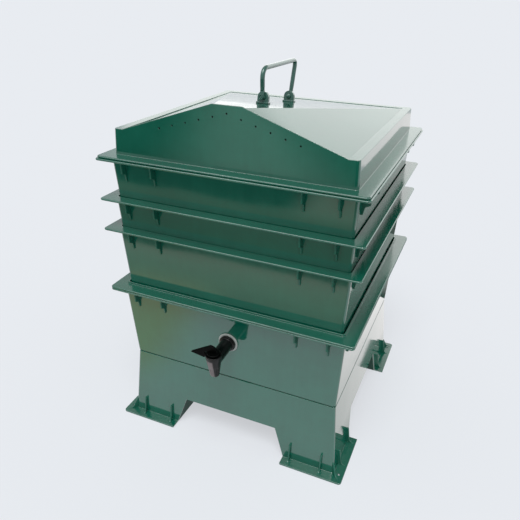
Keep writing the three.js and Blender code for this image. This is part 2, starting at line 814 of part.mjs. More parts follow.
// The bail: a rod bent to a loop that is taller at the back, with a flattened eye at each end.
// Its frame has the bolts' axis along Y at zero height.
function bail() {
  const eyePlace = earSpacing / 2 + (eyeInner + eyeOuter) / 2;
  const corners = [
    { y: -eyePlace, z: bailTongue - bailRod / 2 },
    { y: -eyePlace - bailFrontSpread, z: bailFrontRise, bend: bailFrontBend },
    { y: eyePlace + bailRearSpread, z: bailRearRise, bend: bailRearBend },
    { y: eyePlace, z: bailTongue - bailRod / 2 },
  ].map(({ y, z, bend }) => ({ at: new THREE.Vector3(0, y, z), bend }));
  const path = new THREE.CurvePath();
  let start = corners[0].at;
  for (let i = 1; i < corners.length - 1; i++) {
    const { at, bend } = corners[i];
    const before = corners[i - 1].at.clone().sub(at).normalize().multiplyScalar(bend).add(at);
    const after = corners[i + 1].at.clone().sub(at).normalize().multiplyScalar(bend).add(at);
    path.add(new THREE.LineCurve3(start, before));
    path.add(new THREE.QuadraticBezierCurve3(before, at, after));
    start = after;
  }
  path.add(new THREE.LineCurve3(start, corners[corners.length - 1].at));
  const section = new THREE.Shape();
  section.absarc(0, 0, bailRod / 2, 0, 2 * Math.PI);
  const rod = new THREE.ExtrudeGeometry(section, {
    steps: rodSteps,
    extrudePath: path,
    curveSegments: rodSides / 2,
    bevelEnabled: false,
  });
  const parts = [solid(rod)];
  for (const end of [1, -1]) {
    const tongue = new THREE.Shape();
    tongue.moveTo(bailEyeRadius, 0);
    tongue.lineTo(bailRod / 2, bailTongue);
    tongue.lineTo(-bailRod / 2, bailTongue);
    tongue.lineTo(-bailEyeRadius, 0);
    tongue.absarc(0, 0, bailEyeRadius, Math.PI, 2 * Math.PI);
    const geometry = sidePrism(tongue, bailEyeThickness, smallSides / 2);
    geometry.translate(0, end * eyePlace, 0);
    parts.push(solid(geometry));
  }
  const boreEnd = eyePlace + overrun;
  const bore = roundAlongY(-boreEnd, boreEnd, pinRadius + seatGap, pinRadius + seatGap, smallSides);
  const mesh = meshOf("handle_bail", joined(parts).subtract(bore), greenSteel);
  mesh.position.z = earPinHeight;
  return mesh;
}

// The tap's fixed moulding: shank, collar, barrel and the tapering valve and spout.
function tapBody() {
  const ringFace = -seatGap - tapRingThickness - seatGap;
  const shankEnd = sumpWall + seatGap + tapSealThickness + seatGap + tapNutThickness + tapShankSpare;
  const shank = roundAlongY(ringFace, shankEnd, tapShankRadius);
  const collar = roundAlongY(ringFace - tapCollarThickness, ringFace, tapCollarRadius);
  const barrel = roundAlongY(-tapReach, ringFace, tapBarrelRadius);
  const valve = roundAlongZ(-spoutDrop, valveTop, spoutRadius, valveTopRadius);
  const seat = roundAlongZ(
    -spoutDrop - overrun,
    valveTop + overrun,
    plugRadiusAt(-spoutDrop - overrun) + seatGap,
    plugRadiusAt(valveTop + overrun) + seatGap,
  );
  const bore = roundAlongY(-tapReach, shankEnd + overrun, tapBoreRadius);
  const body = joined([shank, collar, barrel, valve.translate([0, -tapReach, 0])])
    .subtract(seat.translate([0, -tapReach, 0]))
    .subtract(bore);
  return meshOf("tap_body", body, blackPlastic);
}

// The plug's radius at a height over the barrel's axis.
function plugRadiusAt(z) {
  const taper = (plugTopRadius - plugBottomRadius) / (valveTop + plugEnd);
  return plugBottomRadius + taper * (z + plugEnd);
}

// The wing on the plug, in X and Z from the plug's axis.
function wing() {
  const capTop = valveTop + seatGap + plugCapThickness;
  const clear = valveTopRadius + leverPlay;
  const shape = new THREE.Shape();
  shape.moveTo(leverBack, capTop - plugCapThickness / 2);
  shape.lineTo(leverBack, capTop);
  shape.quadraticCurveTo(leverBack, leverTop, -leverShoulder, leverTop);
  shape.lineTo(-leverLength, leverTipLevel);
  shape.lineTo(-clear - leverPlay, leverHeelLevel);
  shape.lineTo(-clear, leverTipLevel);
  shape.lineTo(-clear, capTop - plugCapThickness / 2);
  shape.closePath();
  return solid(sidePrism(shape, leverThickness));
}

// The turning piece: a tapered hollow plug with a side port, a cap and the wing lever.
function tapPlug() {
  const plugTop = valveTop + 2 * seatGap;
  const plug = roundAlongZ(-plugEnd, plugTop, plugBottomRadius, plugRadiusAt(plugTop));
  const cap = roundAlongZ(valveTop + seatGap, valveTop + seatGap + plugCapThickness, plugCapRadius);
  const bore = roundAlongZ(-plugEnd - overrun, plugBoreRadius, plugBoreRadius);
  const portLength = plugTopRadius + overrun;
  const port = new THREE.CylinderGeometry(plugBoreRadius, plugBoreRadius, portLength, smallSides);
  port.rotateZ(Math.PI / 2);
  port.translate(portLength / 2, 0, 0);
  const body = joined([plug, cap, wing()]).subtract(bore).subtract(solid(port));
  const mesh = meshOf("tap_plug", body, blackPlastic);
  mesh.position.y = -tapReach;
  return mesh;
}

// The grey washer outside the wall.
function tapRing() {
  const body = ringAlongY(-seatGap - tapRingThickness, -seatGap, tapRingRadius, tapShankRadius + seatGap);
  return meshOf("tap_ring", body, greyPlastic);
}

// The rubber washer inside the wall.
function tapSeal() {
  const face = sumpWall + seatGap;
  const body = ringAlongY(face, face + tapSealThickness, tapSealRadius, tapShankRadius + seatGap);
  return meshOf("tap_seal", body, sealRubber);
}

// The lock nut with finger lobes.
function tapNut() {
  const face = sumpWall + seatGap + tapSealThickness + seatGap;
  const outline = new THREE.Shape();
  const lobeSteps = 4;
  const valley = tapNutRadius - tapShankSpare / 2;
  for (let i = 0; i < tapNutLobes * lobeSteps; i++) {
    const angle = (2 * Math.PI * i) / (tapNutLobes * lobeSteps);
    const radius = i % lobeSteps < lobeSteps / 2 ? tapNutRadius : valley;
    const point = [radius * Math.cos(angle), radius * Math.sin(angle)];
    if (i === 0) outline.moveTo(...point);
    else outline.lineTo(...point);
  }
  outline.closePath();
  const geometry = sidePrism(outline, tapNutThickness);
  geometry.translate(0, face + tapNutThickness / 2, 0);
  const bore = roundAlongY(face - overrun, face + tapNutThickness + overrun, tapShankRadius + seatGap);
  return meshOf("tap_nut", solid(geometry).subtract(bore), blackPlastic);
}

// The tap with its washers and nut, square to the sump's front wall.
function tap() {
  const group = tapFrame();
  group.add(tapBody(), tapPlug(), tapRing(), tapSeal(), tapNut());
  return group;
}

// The handle with its ears and fasteners, on the roof's back facet.
function handle() {
  const group = handleFrame();
  for (const [where, end] of [["front", -1], ["rear", 1]]) {
    group.add(bracket("handle_bracket_" + where, end));
    group.add(bolt("handle_bolt_" + where, end));
    group.add(nut("handle_nut_" + where, end));
    group.add(bracketScrew("bracket_screw_" + where + "_left", end, -1));
    group.add(bracketScrew("bracket_screw_" + where + "_right", end, 1));
  }
  group.add(bail());
  return group;
}

const assembly = new THREE.Group();
assembly.add(stand(), sump(), tap(), insert());
assembly.add(tray("tray_lower", lowerTop, nestStep));
assembly.add(tray("tray_middle", middleTop, openStep));
assembly.add(tray("tray_upper", upperTop, openStep));
assembly.add(lid(), handle());

// The origin is under the middle of everything, on the ground.
const extent = new THREE.Box3().setFromObject(assembly, true);
assembly.position.y = -(extent.min.y + extent.max.y) / 2;

const wormery = new THREE.Group();
wormery.add(assembly);

export default wormery;
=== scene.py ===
"""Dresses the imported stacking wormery: stand, sump, insert, trays, lid, handle and tap."""
import json
import logging
import math
from dataclasses import dataclass, field, replace
from enum import Enum
from typing import Any, Callable, Iterable, Sequence

import bmesh
import bpy
from mathutils import Matrix, Vector


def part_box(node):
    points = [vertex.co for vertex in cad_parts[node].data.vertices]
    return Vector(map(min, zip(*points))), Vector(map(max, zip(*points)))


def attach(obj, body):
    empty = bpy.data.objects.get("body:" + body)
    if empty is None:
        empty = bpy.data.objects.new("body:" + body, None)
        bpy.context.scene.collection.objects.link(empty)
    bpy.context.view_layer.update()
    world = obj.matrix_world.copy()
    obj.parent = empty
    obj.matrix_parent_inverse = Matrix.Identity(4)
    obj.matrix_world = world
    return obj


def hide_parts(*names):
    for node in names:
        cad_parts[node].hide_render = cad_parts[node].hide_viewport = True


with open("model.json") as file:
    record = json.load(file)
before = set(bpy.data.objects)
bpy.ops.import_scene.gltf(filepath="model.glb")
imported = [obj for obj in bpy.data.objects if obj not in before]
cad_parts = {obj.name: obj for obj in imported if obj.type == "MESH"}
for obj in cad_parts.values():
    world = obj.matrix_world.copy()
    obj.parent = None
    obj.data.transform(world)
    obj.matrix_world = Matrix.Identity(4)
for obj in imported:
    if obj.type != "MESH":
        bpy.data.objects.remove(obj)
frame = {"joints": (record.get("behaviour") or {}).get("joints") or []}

LOG = logging.getLogger("wormery")
MM = 0.001
FROM_MM = Matrix.Scale(MM, 4)
QUARTER = math.pi / 2
FULL_TURN = 2 * math.pi
CORNERS = ((1, 1), (-1, 1), (-1, -1), (1, -1))
LEVEL_FACE = "level_face"
LEVEL_NORMAL = 0.998  # the least upward part of a level face's normal
TIP = 0.02  # the radius in millimetres at which a turned form ends on its axis
Triple = tuple[float, float, float]
Colour = Triple
Pair = tuple[float, float]
Outline = list[Pair]
Turning = Callable[[float, float, float], Pair]


class Slot(Enum):
    """The record's material slots."""

    GREEN_PLASTIC = "green_plastic"
    GREEN_STEEL = "green_steel"
    ZINC_STEEL = "zinc_steel"
    BLACK_PLASTIC = "black_plastic"
    GREY_PLASTIC = "grey_plastic"
    SEAL_RUBBER = "seal_rubber"


class Special(Enum):
    """Finishes that differ from their slot's own."""

    SUMP_WALL = "sump wall"
    STAND_WALL = "stand wall"
    SATIN_GREEN = "satin green"
    # a rougher, duller green whose darker colour is painted shade
    DULL_GREEN_PAINTED_SHADE = "dull green"
    SATIN_BLACK = "satin black"
    # black with a painted sheen: a lighter colour low on one side in place of reflected light
    PAINTED_SHEEN_BLACK = "scuffed black"


class Body(Enum):
    """The bodies that pieces ride on."""

    STAND = "stand"
    SUMP = "sump"
    TAP_LEVER = "tap_lever"
    INSERT = "insert"
    TRAY_LOWER = "tray_lower"
    TRAY_MIDDLE = "tray_middle"
    TRAY_UPPER = "tray_upper"
    LID = "lid"
    HANDLE = "handle"


class Axis(Enum):
    """Which way a round form's axis points in its own frame."""

    ALONG_Y = "Y"
    ALONG_Z = "Z"


# ---- node trees


def operator(operation: str, swapped: bool = False) -> Callable[["Signal", Any], "Signal"]:
    """Makes a method of Signal that adds a Math node.

    Args:
        operation: the node's operation.
        swapped: True for a reflected form, where the signal comes second.

    Returns:
        The method.
    """

    def method(signal: "Signal", other: Any) -> "Signal":
        """The operation's result."""
        return signal.apply(operation, *((other, signal) if swapped else (signal, other)))

    return method


class Signal:
    """A number socket. An expression on signals adds the Math nodes that work it out."""

    def __init__(self, graph: "Graph", socket: bpy.types.NodeSocket) -> None:
        """Wraps a socket of a graph."""
        self.graph = graph
        self.socket = socket

    def apply(self, operation: str, *values: Any) -> "Signal":
        """Adds a Math node.

        Args:
            operation: the node's operation.
            values: its inputs, in order.

        Returns:
            The node's result.
        """
        settings = {"operation": operation}
        node = self.graph.node("ShaderNodeMath", settings, dict(enumerate(values)))
        return Signal(self.graph, node.outputs[0])

    __add__ = __radd__ = operator("ADD")
    __sub__, __rsub__ = operator("SUBTRACT"), operator("SUBTRACT", swapped=True)
    __mul__ = __rmul__ = operator("MULTIPLY")
    __truediv__, __rtruediv__ = operator("DIVIDE"), operator("DIVIDE", swapped=True)
    larger = operator("MAXIMUM")

    def __abs__(self) -> "Signal":
        """The size without its sign."""
        return self.apply("ABSOLUTE", self)

    def clipped(self) -> "Signal":
        """The value held between 0 and 1."""
        return self.apply("MINIMUM", self.larger(0.0), 1.0)

    def eased(self, low: float, high: float) -> "Signal":
        """A smooth step.

        Args:
            low: where it starts to rise from 0.
            high: where it reaches 1.

        Returns:
            The step.
        """
        settings = {"interpolation_type": "SMOOTHSTEP"}
        values = {"Value": self, "From Min": low, "From Max": high}
        node = self.graph.node("ShaderNodeMapRange", settings, values)
        return Signal(self.graph, node.outputs[0])


class Graph:
    """A node tree that is built by calls."""

    def __init__(self, tree: bpy.types.NodeTree) -> None:
        """Takes the tree to build in."""
        self.tree = tree

    def node(
        self,
        kind: str,
        settings: dict[str, Any] | None = None,
        inputs: dict[Any, Any] | None = None,
    ) -> bpy.types.Node:
        """Adds a node: its settings first, then its values and links.

        Args:
            kind: the node's type.
            settings: its attributes.
            inputs: values, sockets or signals by the input's name or place.

        Returns:
            The node.
        """
        node = self.tree.nodes.new(kind)
        for name, value in (settings or {}).items():
            setattr(node, name, value)
        for key, value in (inputs or {}).items():
            self.feed(node.inputs[key], value)
        return node

    def feed(self, socket: bpy.types.NodeSocket, value: Any) -> None:
        """Sets a socket's value, or links a socket or signal to it."""
        if isinstance(value, Signal):
            self.tree.links.new(value.socket, socket)
        elif isinstance(value, bpy.types.NodeSocket):
            self.tree.links.new(value, socket)
        elif isinstance(value, tuple) and len(value) == 3 and socket.type == "RGBA":
            socket.default_value = (*value, 1.0)
        else:
            socket.default_value = value

    def signal(self, node: bpy.types.Node, output: Any = 0) -> Signal:
        """An output of a node as a signal."""
        return Signal(self, node.outputs[output])

    def blended(self, factor: Any, first: Any, second: Any) -> bpy.types.NodeSocket:
        """Mixes two colours.

        Args:
            factor: 0 for the first, 1 for the second.
            first: a colour or a colour socket.
            second: a colour or a colour socket.

        Returns:
            The mixed colour's socket.
        """
        node = self.node("ShaderNodeMix", {"data_type": "RGBA"}, {0: factor, 6: first, 7: second})
        return node.outputs[2]


class SurfaceGraph(Graph):
    """The node tree of a material."""

    def __init__(self, name: str) -> None:
        """Makes an empty material with an output."""
        self.material = bpy.data.materials.new(name)
        self.material.use_nodes = True
        super().__init__(self.material.node_tree)
        self.tree.nodes.clear()
        self.output = self.node("ShaderNodeOutputMaterial")

    def place(self, stretch: Triple = (1.0, 1.0, 1.0)) -> bpy.types.NodeSocket:
        """The place on the object, in metres, stretched along its axes."""
        source = self.node("ShaderNodeTexCoord")
        mapping = self.node(
            "ShaderNodeMapping", None, {"Vector": source.outputs["Object"], "Scale": stretch}
        )
        return mapping.outputs["Vector"]

    def noise(
        self, place: bpy.types.NodeSocket, scale: float, detail: float = 2.0, rough: float = 0.5
    ) -> Signal:
        """Soft noise.

        Args:
            place: the socket that it reads its place from.
            scale: spots to the metre.
            detail: how many finer layers it has.
            rough: how strong the finer layers are.

        Returns:
            The noise, between 0 and 1.
        """
        values = {"Vector": place, "Scale": scale, "Detail": detail, "Roughness": rough}
        return self.signal(self.node("ShaderNodeTexNoise", None, values))

    def along(self, axis: str) -> Signal:
        """The place along X, Y or Z, in metres."""
        return self.signal(self.node("ShaderNodeSeparateXYZ", None, {0: self.place()}), axis)

    def attribute(self, name: str) -> Signal:
        """A piece's own number on its faces."""
        return self.signal(self.node("ShaderNodeAttribute", {"attribute_name": name}), "Fac")

    def raised(
        self, height: Signal, depth: float, below: bpy.types.NodeSocket | None = None
    ) -> bpy.types.NodeSocket:
        """A bumped normal.

        Args:
            height: the relief, between 0 and 1.
            depth: the height of a full step, in metres.
            below: the normal of a coarser relief under it.

        Returns:
            The normal's socket.
        """
        values: dict[Any, Any] = {"Strength": 1.0, "Distance": depth, "Height": height}
        if below is not None:
            values["Normal"] = below
        return self.node("ShaderNodeBump", None, values).outputs["Normal"]

    def finish(self, shader: bpy.types.Node) -> bpy.types.Material:
        """Links the shader to the output and returns the material."""
        self.feed(self.output.inputs["Surface"], shader.outputs[0])
        return self.material

    def dressed(self, inputs: dict[str, Any]) -> bpy.types.Material:
        """Ends in a Principled BSDF with the given inputs and returns the material."""
        return self.finish(self.node("ShaderNodeBsdfPrincipled", None, inputs))


# ---- finishes


@dataclass(frozen=True)
class Bow:
    """How moulded walls bow: as relief, their lean grows evenly from one height to another."""

    none_at: float
    full_at: float
    slope: float

    def relief(self, graph: SurfaceGraph) -> bpy.types.NodeSocket:
        """The bowed wall's normal."""
        share = (graph.along("Z") - self.none_at) / (self.full_at - self.none_at)
        held = share.clipped()
        height = held * held * 0.5 + (share - 1.0).larger(0.0)
        return graph.raised(height, self.slope * (self.full_at - self.none_at))


@dataclass(frozen=True)
class MouldedPlastic:
    """Injection-moulded plastic: faint flow marks, a slightly wavy wall and fine hairlines.

    Under a given height and left of a given side it turns to a lighter colour, which is painted
    sheen: reflected light painted into the colour.
    """

    name: str
    colour: Colour
    deep: Colour
    roughness: float
    gloss: float = 1.0
    refraction: float = 1.5
    unevenness: float = 0.05
    wave_depth: float = 0.0006
    wave_scale: float = 7.0
    grain_depth: float = 0.000004
    grain_scale: float = 900.0
    hairlines: float = 0.12
    level_texture: float = 0.0
    bow: Bow | None = None
    # painted sheen: a lighter colour below one height and left of one side, standing in for
    # reflected light
    painted_sheen: Colour | None = None
    sheen_below: float = 0.0
    sheen_beside: float = 0.0
    sheen_fade: Pair = (0.004, 0.003)
    cloud_scale: float = 34.0
    flow_stretch: Triple = (90.0, 90.0, 7.0)
    hairline_stretch: Triple = (1.0, 1.6, 5.0)
    hairline_scale: float = 26.0
    hairline_sharpness: float = 190.0
    patch_scale: float = 11.0

    def material(self) -> bpy.types.Material:
        """Builds the material."""
        graph = SurfaceGraph(self.name)
        place = graph.place()
        broad = graph.noise(place, self.wave_scale, 1.0)
        cloud = graph.noise(place, self.cloud_scale, 4.0, 0.6)
        flow = graph.noise(graph.place(self.flow_stretch), 1.0, 3.0, 0.55)
        grain = graph.noise(place, self.grain_scale, 2.0)
        streak = graph.noise(graph.place(self.hairline_stretch), self.hairline_scale, 1.0)
        line = 1.0 - abs(streak - 0.5) * self.hairline_sharpness
        patch = graph.noise(place, self.patch_scale, 2.0).eased(0.5, 0.62)
        hairline = line.clipped() * patch
        tone = (broad * 0.45 + cloud * 0.35 + flow * 0.2).eased(0.32, 0.68)
        colour = graph.blended(tone, self.deep, self.colour)
        # painted sheen: a lighter colour below a height and left of a side, in place of reflected
        # light
        if self.painted_sheen is not None:
            fade_z, fade_x = self.sheen_fade
            low = graph.along("Z").eased(self.sheen_below, self.sheen_below - fade_z)
            side = graph.along("X").eased(self.sheen_beside, self.sheen_beside - fade_x)
            colour = graph.blended(low * side * (tone * 0.3 + 0.7), colour, self.painted_sheen)
        uneven = (cloud - 0.5) * self.unevenness + (flow - 0.5) * self.unevenness
        level = graph.attribute(LEVEL_FACE) * self.level_texture
        roughness = (uneven + self.roughness + hairline * self.hairlines + level).clipped()
        bowed = self.bow.relief(graph) if self.bow is not None else None
        wavy = graph.raised(broad, self.wave_depth, bowed)
        return graph.dressed(
            {
                "Base Color": colour,
                "Roughness": roughness,
                "IOR": self.refraction,
                "Specular IOR Level": self.gloss,
                "Normal": graph.raised(grain + flow * 2.0, self.grain_depth, wavy),
            }
        )


@dataclass(frozen=True)
class CoatedSteel:
    """Steel under a coloured coating, a little orange-peeled and worn thin in places."""

    name: str
    colour: Colour
    worn: Colour
    roughness: float = 0.22

    def material(self) -> bpy.types.Material:
        """Builds the material."""
        graph = SurfaceGraph(self.name)
        place = graph.place()
        peel = graph.noise(place, 420.0, 1.0)
        cloud = graph.noise(place, 60.0, 4.0, 0.6)
        wear = graph.noise(place, 150.0, 3.0, 0.7).eased(0.6, 0.74)
        colour = graph.blended(wear * 0.45, self.colour, self.worn)
        roughness = (cloud * 0.12 + wear * 0.16 + (self.roughness - 0.06)).clipped()
        return graph.dressed(
            {
                "Base Color": colour,
                "Roughness": roughness,
                "Metallic": wear * 0.35 + 0.1,
                "Coat Weight": 0.6,
                "Coat Roughness": 0.08,
                "Normal": graph.raised(peel, 0.00002),
            }
        )


@dataclass(frozen=True)
class PlatedSteel:
    """Zinc-plated steel with a cloudy passivated face and turning marks."""

    name: str
    colour: Colour
    dull: Colour
    roughness: float = 0.3

    def material(self) -> bpy.types.Material:
        """Builds the material."""
        graph = SurfaceGraph(self.name)
        place = graph.place()
        cloud = graph.noise(place, 260.0, 4.0, 0.65)
        brushed = graph.noise(graph.place((1.0, 7.0, 1.0)), 900.0, 2.0)
        colour = graph.blended(cloud.eased(0.35, 0.7), self.colour, self.dull)
        return graph.dressed(
            {
                "Base Color": colour,
                "Roughness": (cloud * 0.2 + brushed * 0.1 + (self.roughness - 0.12)).clipped(),
                "Metallic": 1.0,
                "Normal": graph.raised(brushed, 0.000006),
            }
        )


@dataclass(frozen=True)
class Rubber:
    """Matt rubber with a dusty bloom."""

    name: str
    colour: Colour
    bloom: Colour

    def material(self) -> bpy.types.Material:
        """Builds the material."""
        graph = SurfaceGraph(self.name)
        place = graph.place()
        dust = graph.noise(place, 320.0, 4.0, 0.7)
        skin = graph.noise(place, 2600.0, 2.0)
        return graph.dressed(
            {
                "Base Color": graph.blended(dust.eased(0.45, 0.8), self.colour, self.bloom),
                "Roughness": dust * 0.2 + 0.62,
                "Normal": graph.raised(skin, 0.00002),
            }
        )


@dataclass(frozen=True)
class Palette:
    """The finishes of the whole object, made into materials once."""

    materials: dict[Slot | Special, bpy.types.Material]

    @classmethod
    def mixed(cls) -> "Palette":
        """Makes every material."""
        green = MouldedPlastic(
            "gloss_green_plastic", (0.004, 0.12, 0.076), (0.002, 0.096, 0.06), 0.075, 1.0, 1.6,
            level_texture=0.12,
        )
        black = MouldedPlastic(
            "gloss_black_plastic", (0.0035, 0.0038, 0.0038), (0.002, 0.0022, 0.0022), 0.16, 0.3,
            wave_depth=0.00005, wave_scale=60.0, grain_depth=0.00001,
        )
        finishes = {
            Slot.GREEN_PLASTIC: green,
            Slot.GREEN_STEEL: CoatedSteel(
                "green_coated_steel", (0.02, 0.105, 0.078), (0.1, 0.19, 0.165)
            ),
            Slot.ZINC_STEEL: PlatedSteel(
                "zinc_plated_steel", (0.62, 0.64, 0.65), (0.4, 0.42, 0.43)
            ),
            Slot.BLACK_PLASTIC: black,
            Slot.GREY_PLASTIC: MouldedPlastic(
                "pale_washer_plastic", (0.45, 0.48, 0.46), (0.36, 0.39, 0.37), 0.42, 0.5,
                wave_depth=0.00003, wave_scale=80.0, grain_depth=0.00001,
            ),
            Slot.SEAL_RUBBER: Rubber(
                "seal_rubber_black", (0.018, 0.018, 0.018), (0.06, 0.06, 0.058)
            ),
            Special.SUMP_WALL: replace(
                green, name="bowed_green_sump", bow=Bow(0.256, 0.156, -0.056)
            ),
            Special.STAND_WALL: replace(
                green, name="bowed_green_stand", bow=Bow(0.03, 0.075, 0.08)
            ),
            Special.SATIN_GREEN: replace(
                green, name="satin_green_plastic", roughness=0.34, gloss=0.45
            ),
            # the pillar walls: a darker copy of the green as painted shade for the stand's inside,
            # with a rougher, duller finish
            Special.DULL_GREEN_PAINTED_SHADE: replace(
                green, name="dull_green_plastic_painted_shade", colour=(0.003, 0.05, 0.033),
                deep=(0.002, 0.034, 0.022), roughness=0.6, gloss=0.1,
            ),
            Special.SATIN_BLACK: replace(
                black, name="satin_black_plastic", colour=(0.002, 0.0026, 0.0024),
                deep=(0.001, 0.0014, 0.0012), roughness=0.3, gloss=0.05, grain_depth=0.00002,
            ),
            # the tap's spout: black with a painted sheen, a lighter grey low on its left side that
            # stands in for reflected light
            Special.PAINTED_SHEEN_BLACK: replace(
                black, name="black_plastic_painted_sheen", roughness=0.34, gloss=0.3, unevenness=0.15,
                painted_sheen=(0.2, 0.17, 0.172), sheen_below=0.25, sheen_beside=0.0052,
            ),
        }
        return cls({which: finish.material() for which, finish in finishes.items()})

    def of(self, which: Slot | Special) -> bpy.types.Material:
        """The material of a slot, or of a finish that takes the place of the slot's own."""
        return self.materials[which]


# ---- meshes


@dataclass(frozen=True)
class Section:
    """One round-cornered square of a loft, in millimetres.

    A tilted section rises along Y, and its half width follows a leaning wall by its lean.
    """

    half: float
    level: float
    radius: float = 6.0
    tilt: float = 0.0
    lean: float = 0.0


def lip(half: float, top: float, under: float, corner: float) -> list[Section]:
    """The half-round outer edge of a flange.

    Args:
        half: the flange's half width.
        top: its upper face.
        under: its lower face.
        corner: its corners' radius.

    Returns:
        Sections from the upper face round to the lower one, or back for a swapped top and under.
    """
    radius = (top - under) / 2
    sections = []
    for u, v in arc((0.0, 0.0), 1.0, 90.0, -90.0, 8):
        inset = abs(radius) * (1 - u)
        sections.append(Section(half - inset, (top + under) / 2 + radius * v, corner - inset))
    return sections


def smooth(mesh: bpy.types.Mesh) -> None:
    """Shades all faces of a mesh smooth."""
    mesh.polygons.foreach_set("use_smooth", [True] * len(mesh.polygons))


class Draft:
    """Points and faces in millimetres, in the frame of a sub-assembly."""

    def __init__(self) -> None:
        """Starts empty."""
        self.points: list[Vector] = []
        self.faces: list[list[int]] = []

    def ring(self, points: Iterable[Sequence[float]]) -> list[int]:
        """Adds points and returns their numbers."""
        first = len(self.points)
        self.points.extend(Vector(p) for p in points)
        return list(range(first, len(self.points)))

    def band(self, low: list[int], high: list[int]) -> None:
        """Adds the four-sided faces between two closed rings."""
        count = len(low)
        for i in range(count):
            j = (i + 1) % count
            self.faces.append([low[i], low[j], high[j], high[i]])

    def loft(self, rings: list[list[int]], closed: bool) -> None:
        """Joins rings in order.

        Args:
            rings: rings of as many points each.
            closed: True joins the last to the first, False caps both ends.
        """
        for low, high in zip(rings, rings[1:]):
            self.band(low, high)
        if closed:
            self.band(rings[-1], rings[0])
        else:
            self.faces.append(list(reversed(rings[0])))
            self.faces.append(list(rings[-1]))

    def square(self, section: Section, corner_steps: int = 6) -> list[int]:
        """Adds the ring of a section."""
        points = []
        flat = section.half - section.radius
        for corner, (sx, sy) in enumerate(CORNERS):
            for step in range(corner_steps + 1):
                angle = QUARTER * (corner + step / corner_steps)
                x = sx * flat + section.radius * math.cos(angle)
                y = sy * flat + section.radius * math.sin(angle)
                z = section.level + section.tilt * y
                scale = 1 + section.lean * (z - section.level) / section.half
                points.append((x * scale, y * scale, z))
        return self.ring(points)

    def squares(self, sections: Sequence[Section], closed: bool) -> "Draft":
        """Adds a loft through sections."""
        self.loft([self.square(section) for section in sections], closed)
        return self

    def prism(self, outline: Outline, start: float, end: float, axis: Axis) -> "Draft":
        """Adds a prism.

        Args:
            outline: corners in X and Z for a prism along Y, or in X and Y for one along Z.
            start: where it begins on its axis.
            end: where it ends.
            axis: its axis.

        Returns:
            The draft.
        """
        def at(u: float, v: float, w: float) -> Triple:
            """A corner at a place on the axis."""
            return (u, w, v) if axis is Axis.ALONG_Y else (u, v, w)

        rings = [self.ring(at(u, v, w) for u, v in outline) for w in (start, end)]
        self.loft(rings, closed=False)
        return self

    def turned(
        self,
        profile: Outline,
        axis: Axis = Axis.ALONG_Y,
        sides: int = 48,
        closed: bool = True,
        turning: Turning | None = None,
    ) -> "Draft":
        """Adds a form turned on its axis.

        Args:
            profile: radius and place on the axis, all the way round the cross-section.
            axis: the axis.
            sides: how many sides it has.
            closed: True for a hollow form, False for a solid one that gets end caps.
            turning: the point at a radius, place and angle, for a form that isn't round.

        Returns:
            The draft.
        """
        turning = turning or round_turning
        rings = []
        for radius, place in profile:
            points = []
            for i in range(sides):
                u, v = turning(radius, place, FULL_TURN * i / sides)
                points.append((u, place, v) if axis is Axis.ALONG_Y else (u, v, place))
            rings.append(self.ring(points))
        self.loft(rings, closed)
        return self

    def rod(
        self, radius: float, start: float, end: float, sides: int, axis: Axis = Axis.ALONG_Y
    ) -> "Draft":
        """Adds a solid cylinder between two places on its axis."""
        return self.turned([(radius, start), (radius, end)], axis, sides, closed=False)

    def moved(self, matrix: Matrix) -> "Draft":
        """Moves all points by a matrix in millimetres."""
        self.points = [matrix @ p for p in self.points]
        return self

    def build(self, name: str, place: Matrix) -> bpy.types.Object:
        """Makes a mesh object with its faces outwards.

        Args:
            name: the object's name.
            place: from millimetres in the draft's frame to metres.

        Returns:
            The object, at the origin.
        """
        mesh = bpy.data.meshes.new(name)
        mesh.from_pydata([place @ p for p in self.points], [], self.faces)
        work = bmesh.new()
        work.from_mesh(mesh)
        bmesh.ops.remove_doubles(work, verts=work.verts, dist=1e-7)
        bmesh.ops.recalc_face_normals(work, faces=work.faces)
        closed = not any(edge.is_boundary for edge in work.edges)
        if closed and work.calc_volume(signed=True) < 0:
            bmesh.ops.reverse_faces(work, faces=work.faces)
        work.to_mesh(mesh)
        work.free()
        smooth(mesh)
        obj = bpy.data.objects.new(name, mesh)
        bpy.context.scene.collection.objects.link(obj)
        return obj


def round_turning(radius: float, _place: float, angle: float) -> Pair:
    """The point of a round form."""
    return radius * math.cos(angle), radius * math.sin(angle)


def arc(centre: Pair, radius: float, start: float, end: float, steps: int) -> Outline:
    """Points on an arc.

    Args:
        centre: its centre.
        radius: its radius.
        start: the first angle in degrees.
        end: the last angle in degrees.
        steps: how many steps there are.

    Returns:
        The points.
    """
    angles = [math.radians(start + (end - start) * i / steps) for i in range(steps + 1)]
    return [(centre[0] + radius * math.cos(a), centre[1] + radius * math.sin(a)) for a in angles]


def bent(first: Pair, middle: Pair, last: Pair, steps: int) -> Outline:
    """Points on a curve that leaves the first point and reaches the last towards the middle."""
    points = []
    for i in range(steps + 1):
        t = i / steps
        weights = ((1 - t) ** 2, 2 * t * (1 - t), t**2)
        u, v = (sum(w * p[k] for w, p in zip(weights, (first, middle, last))) for k in range(2))
        points.append((u, v))
    return points


# ---- geometry node patterns


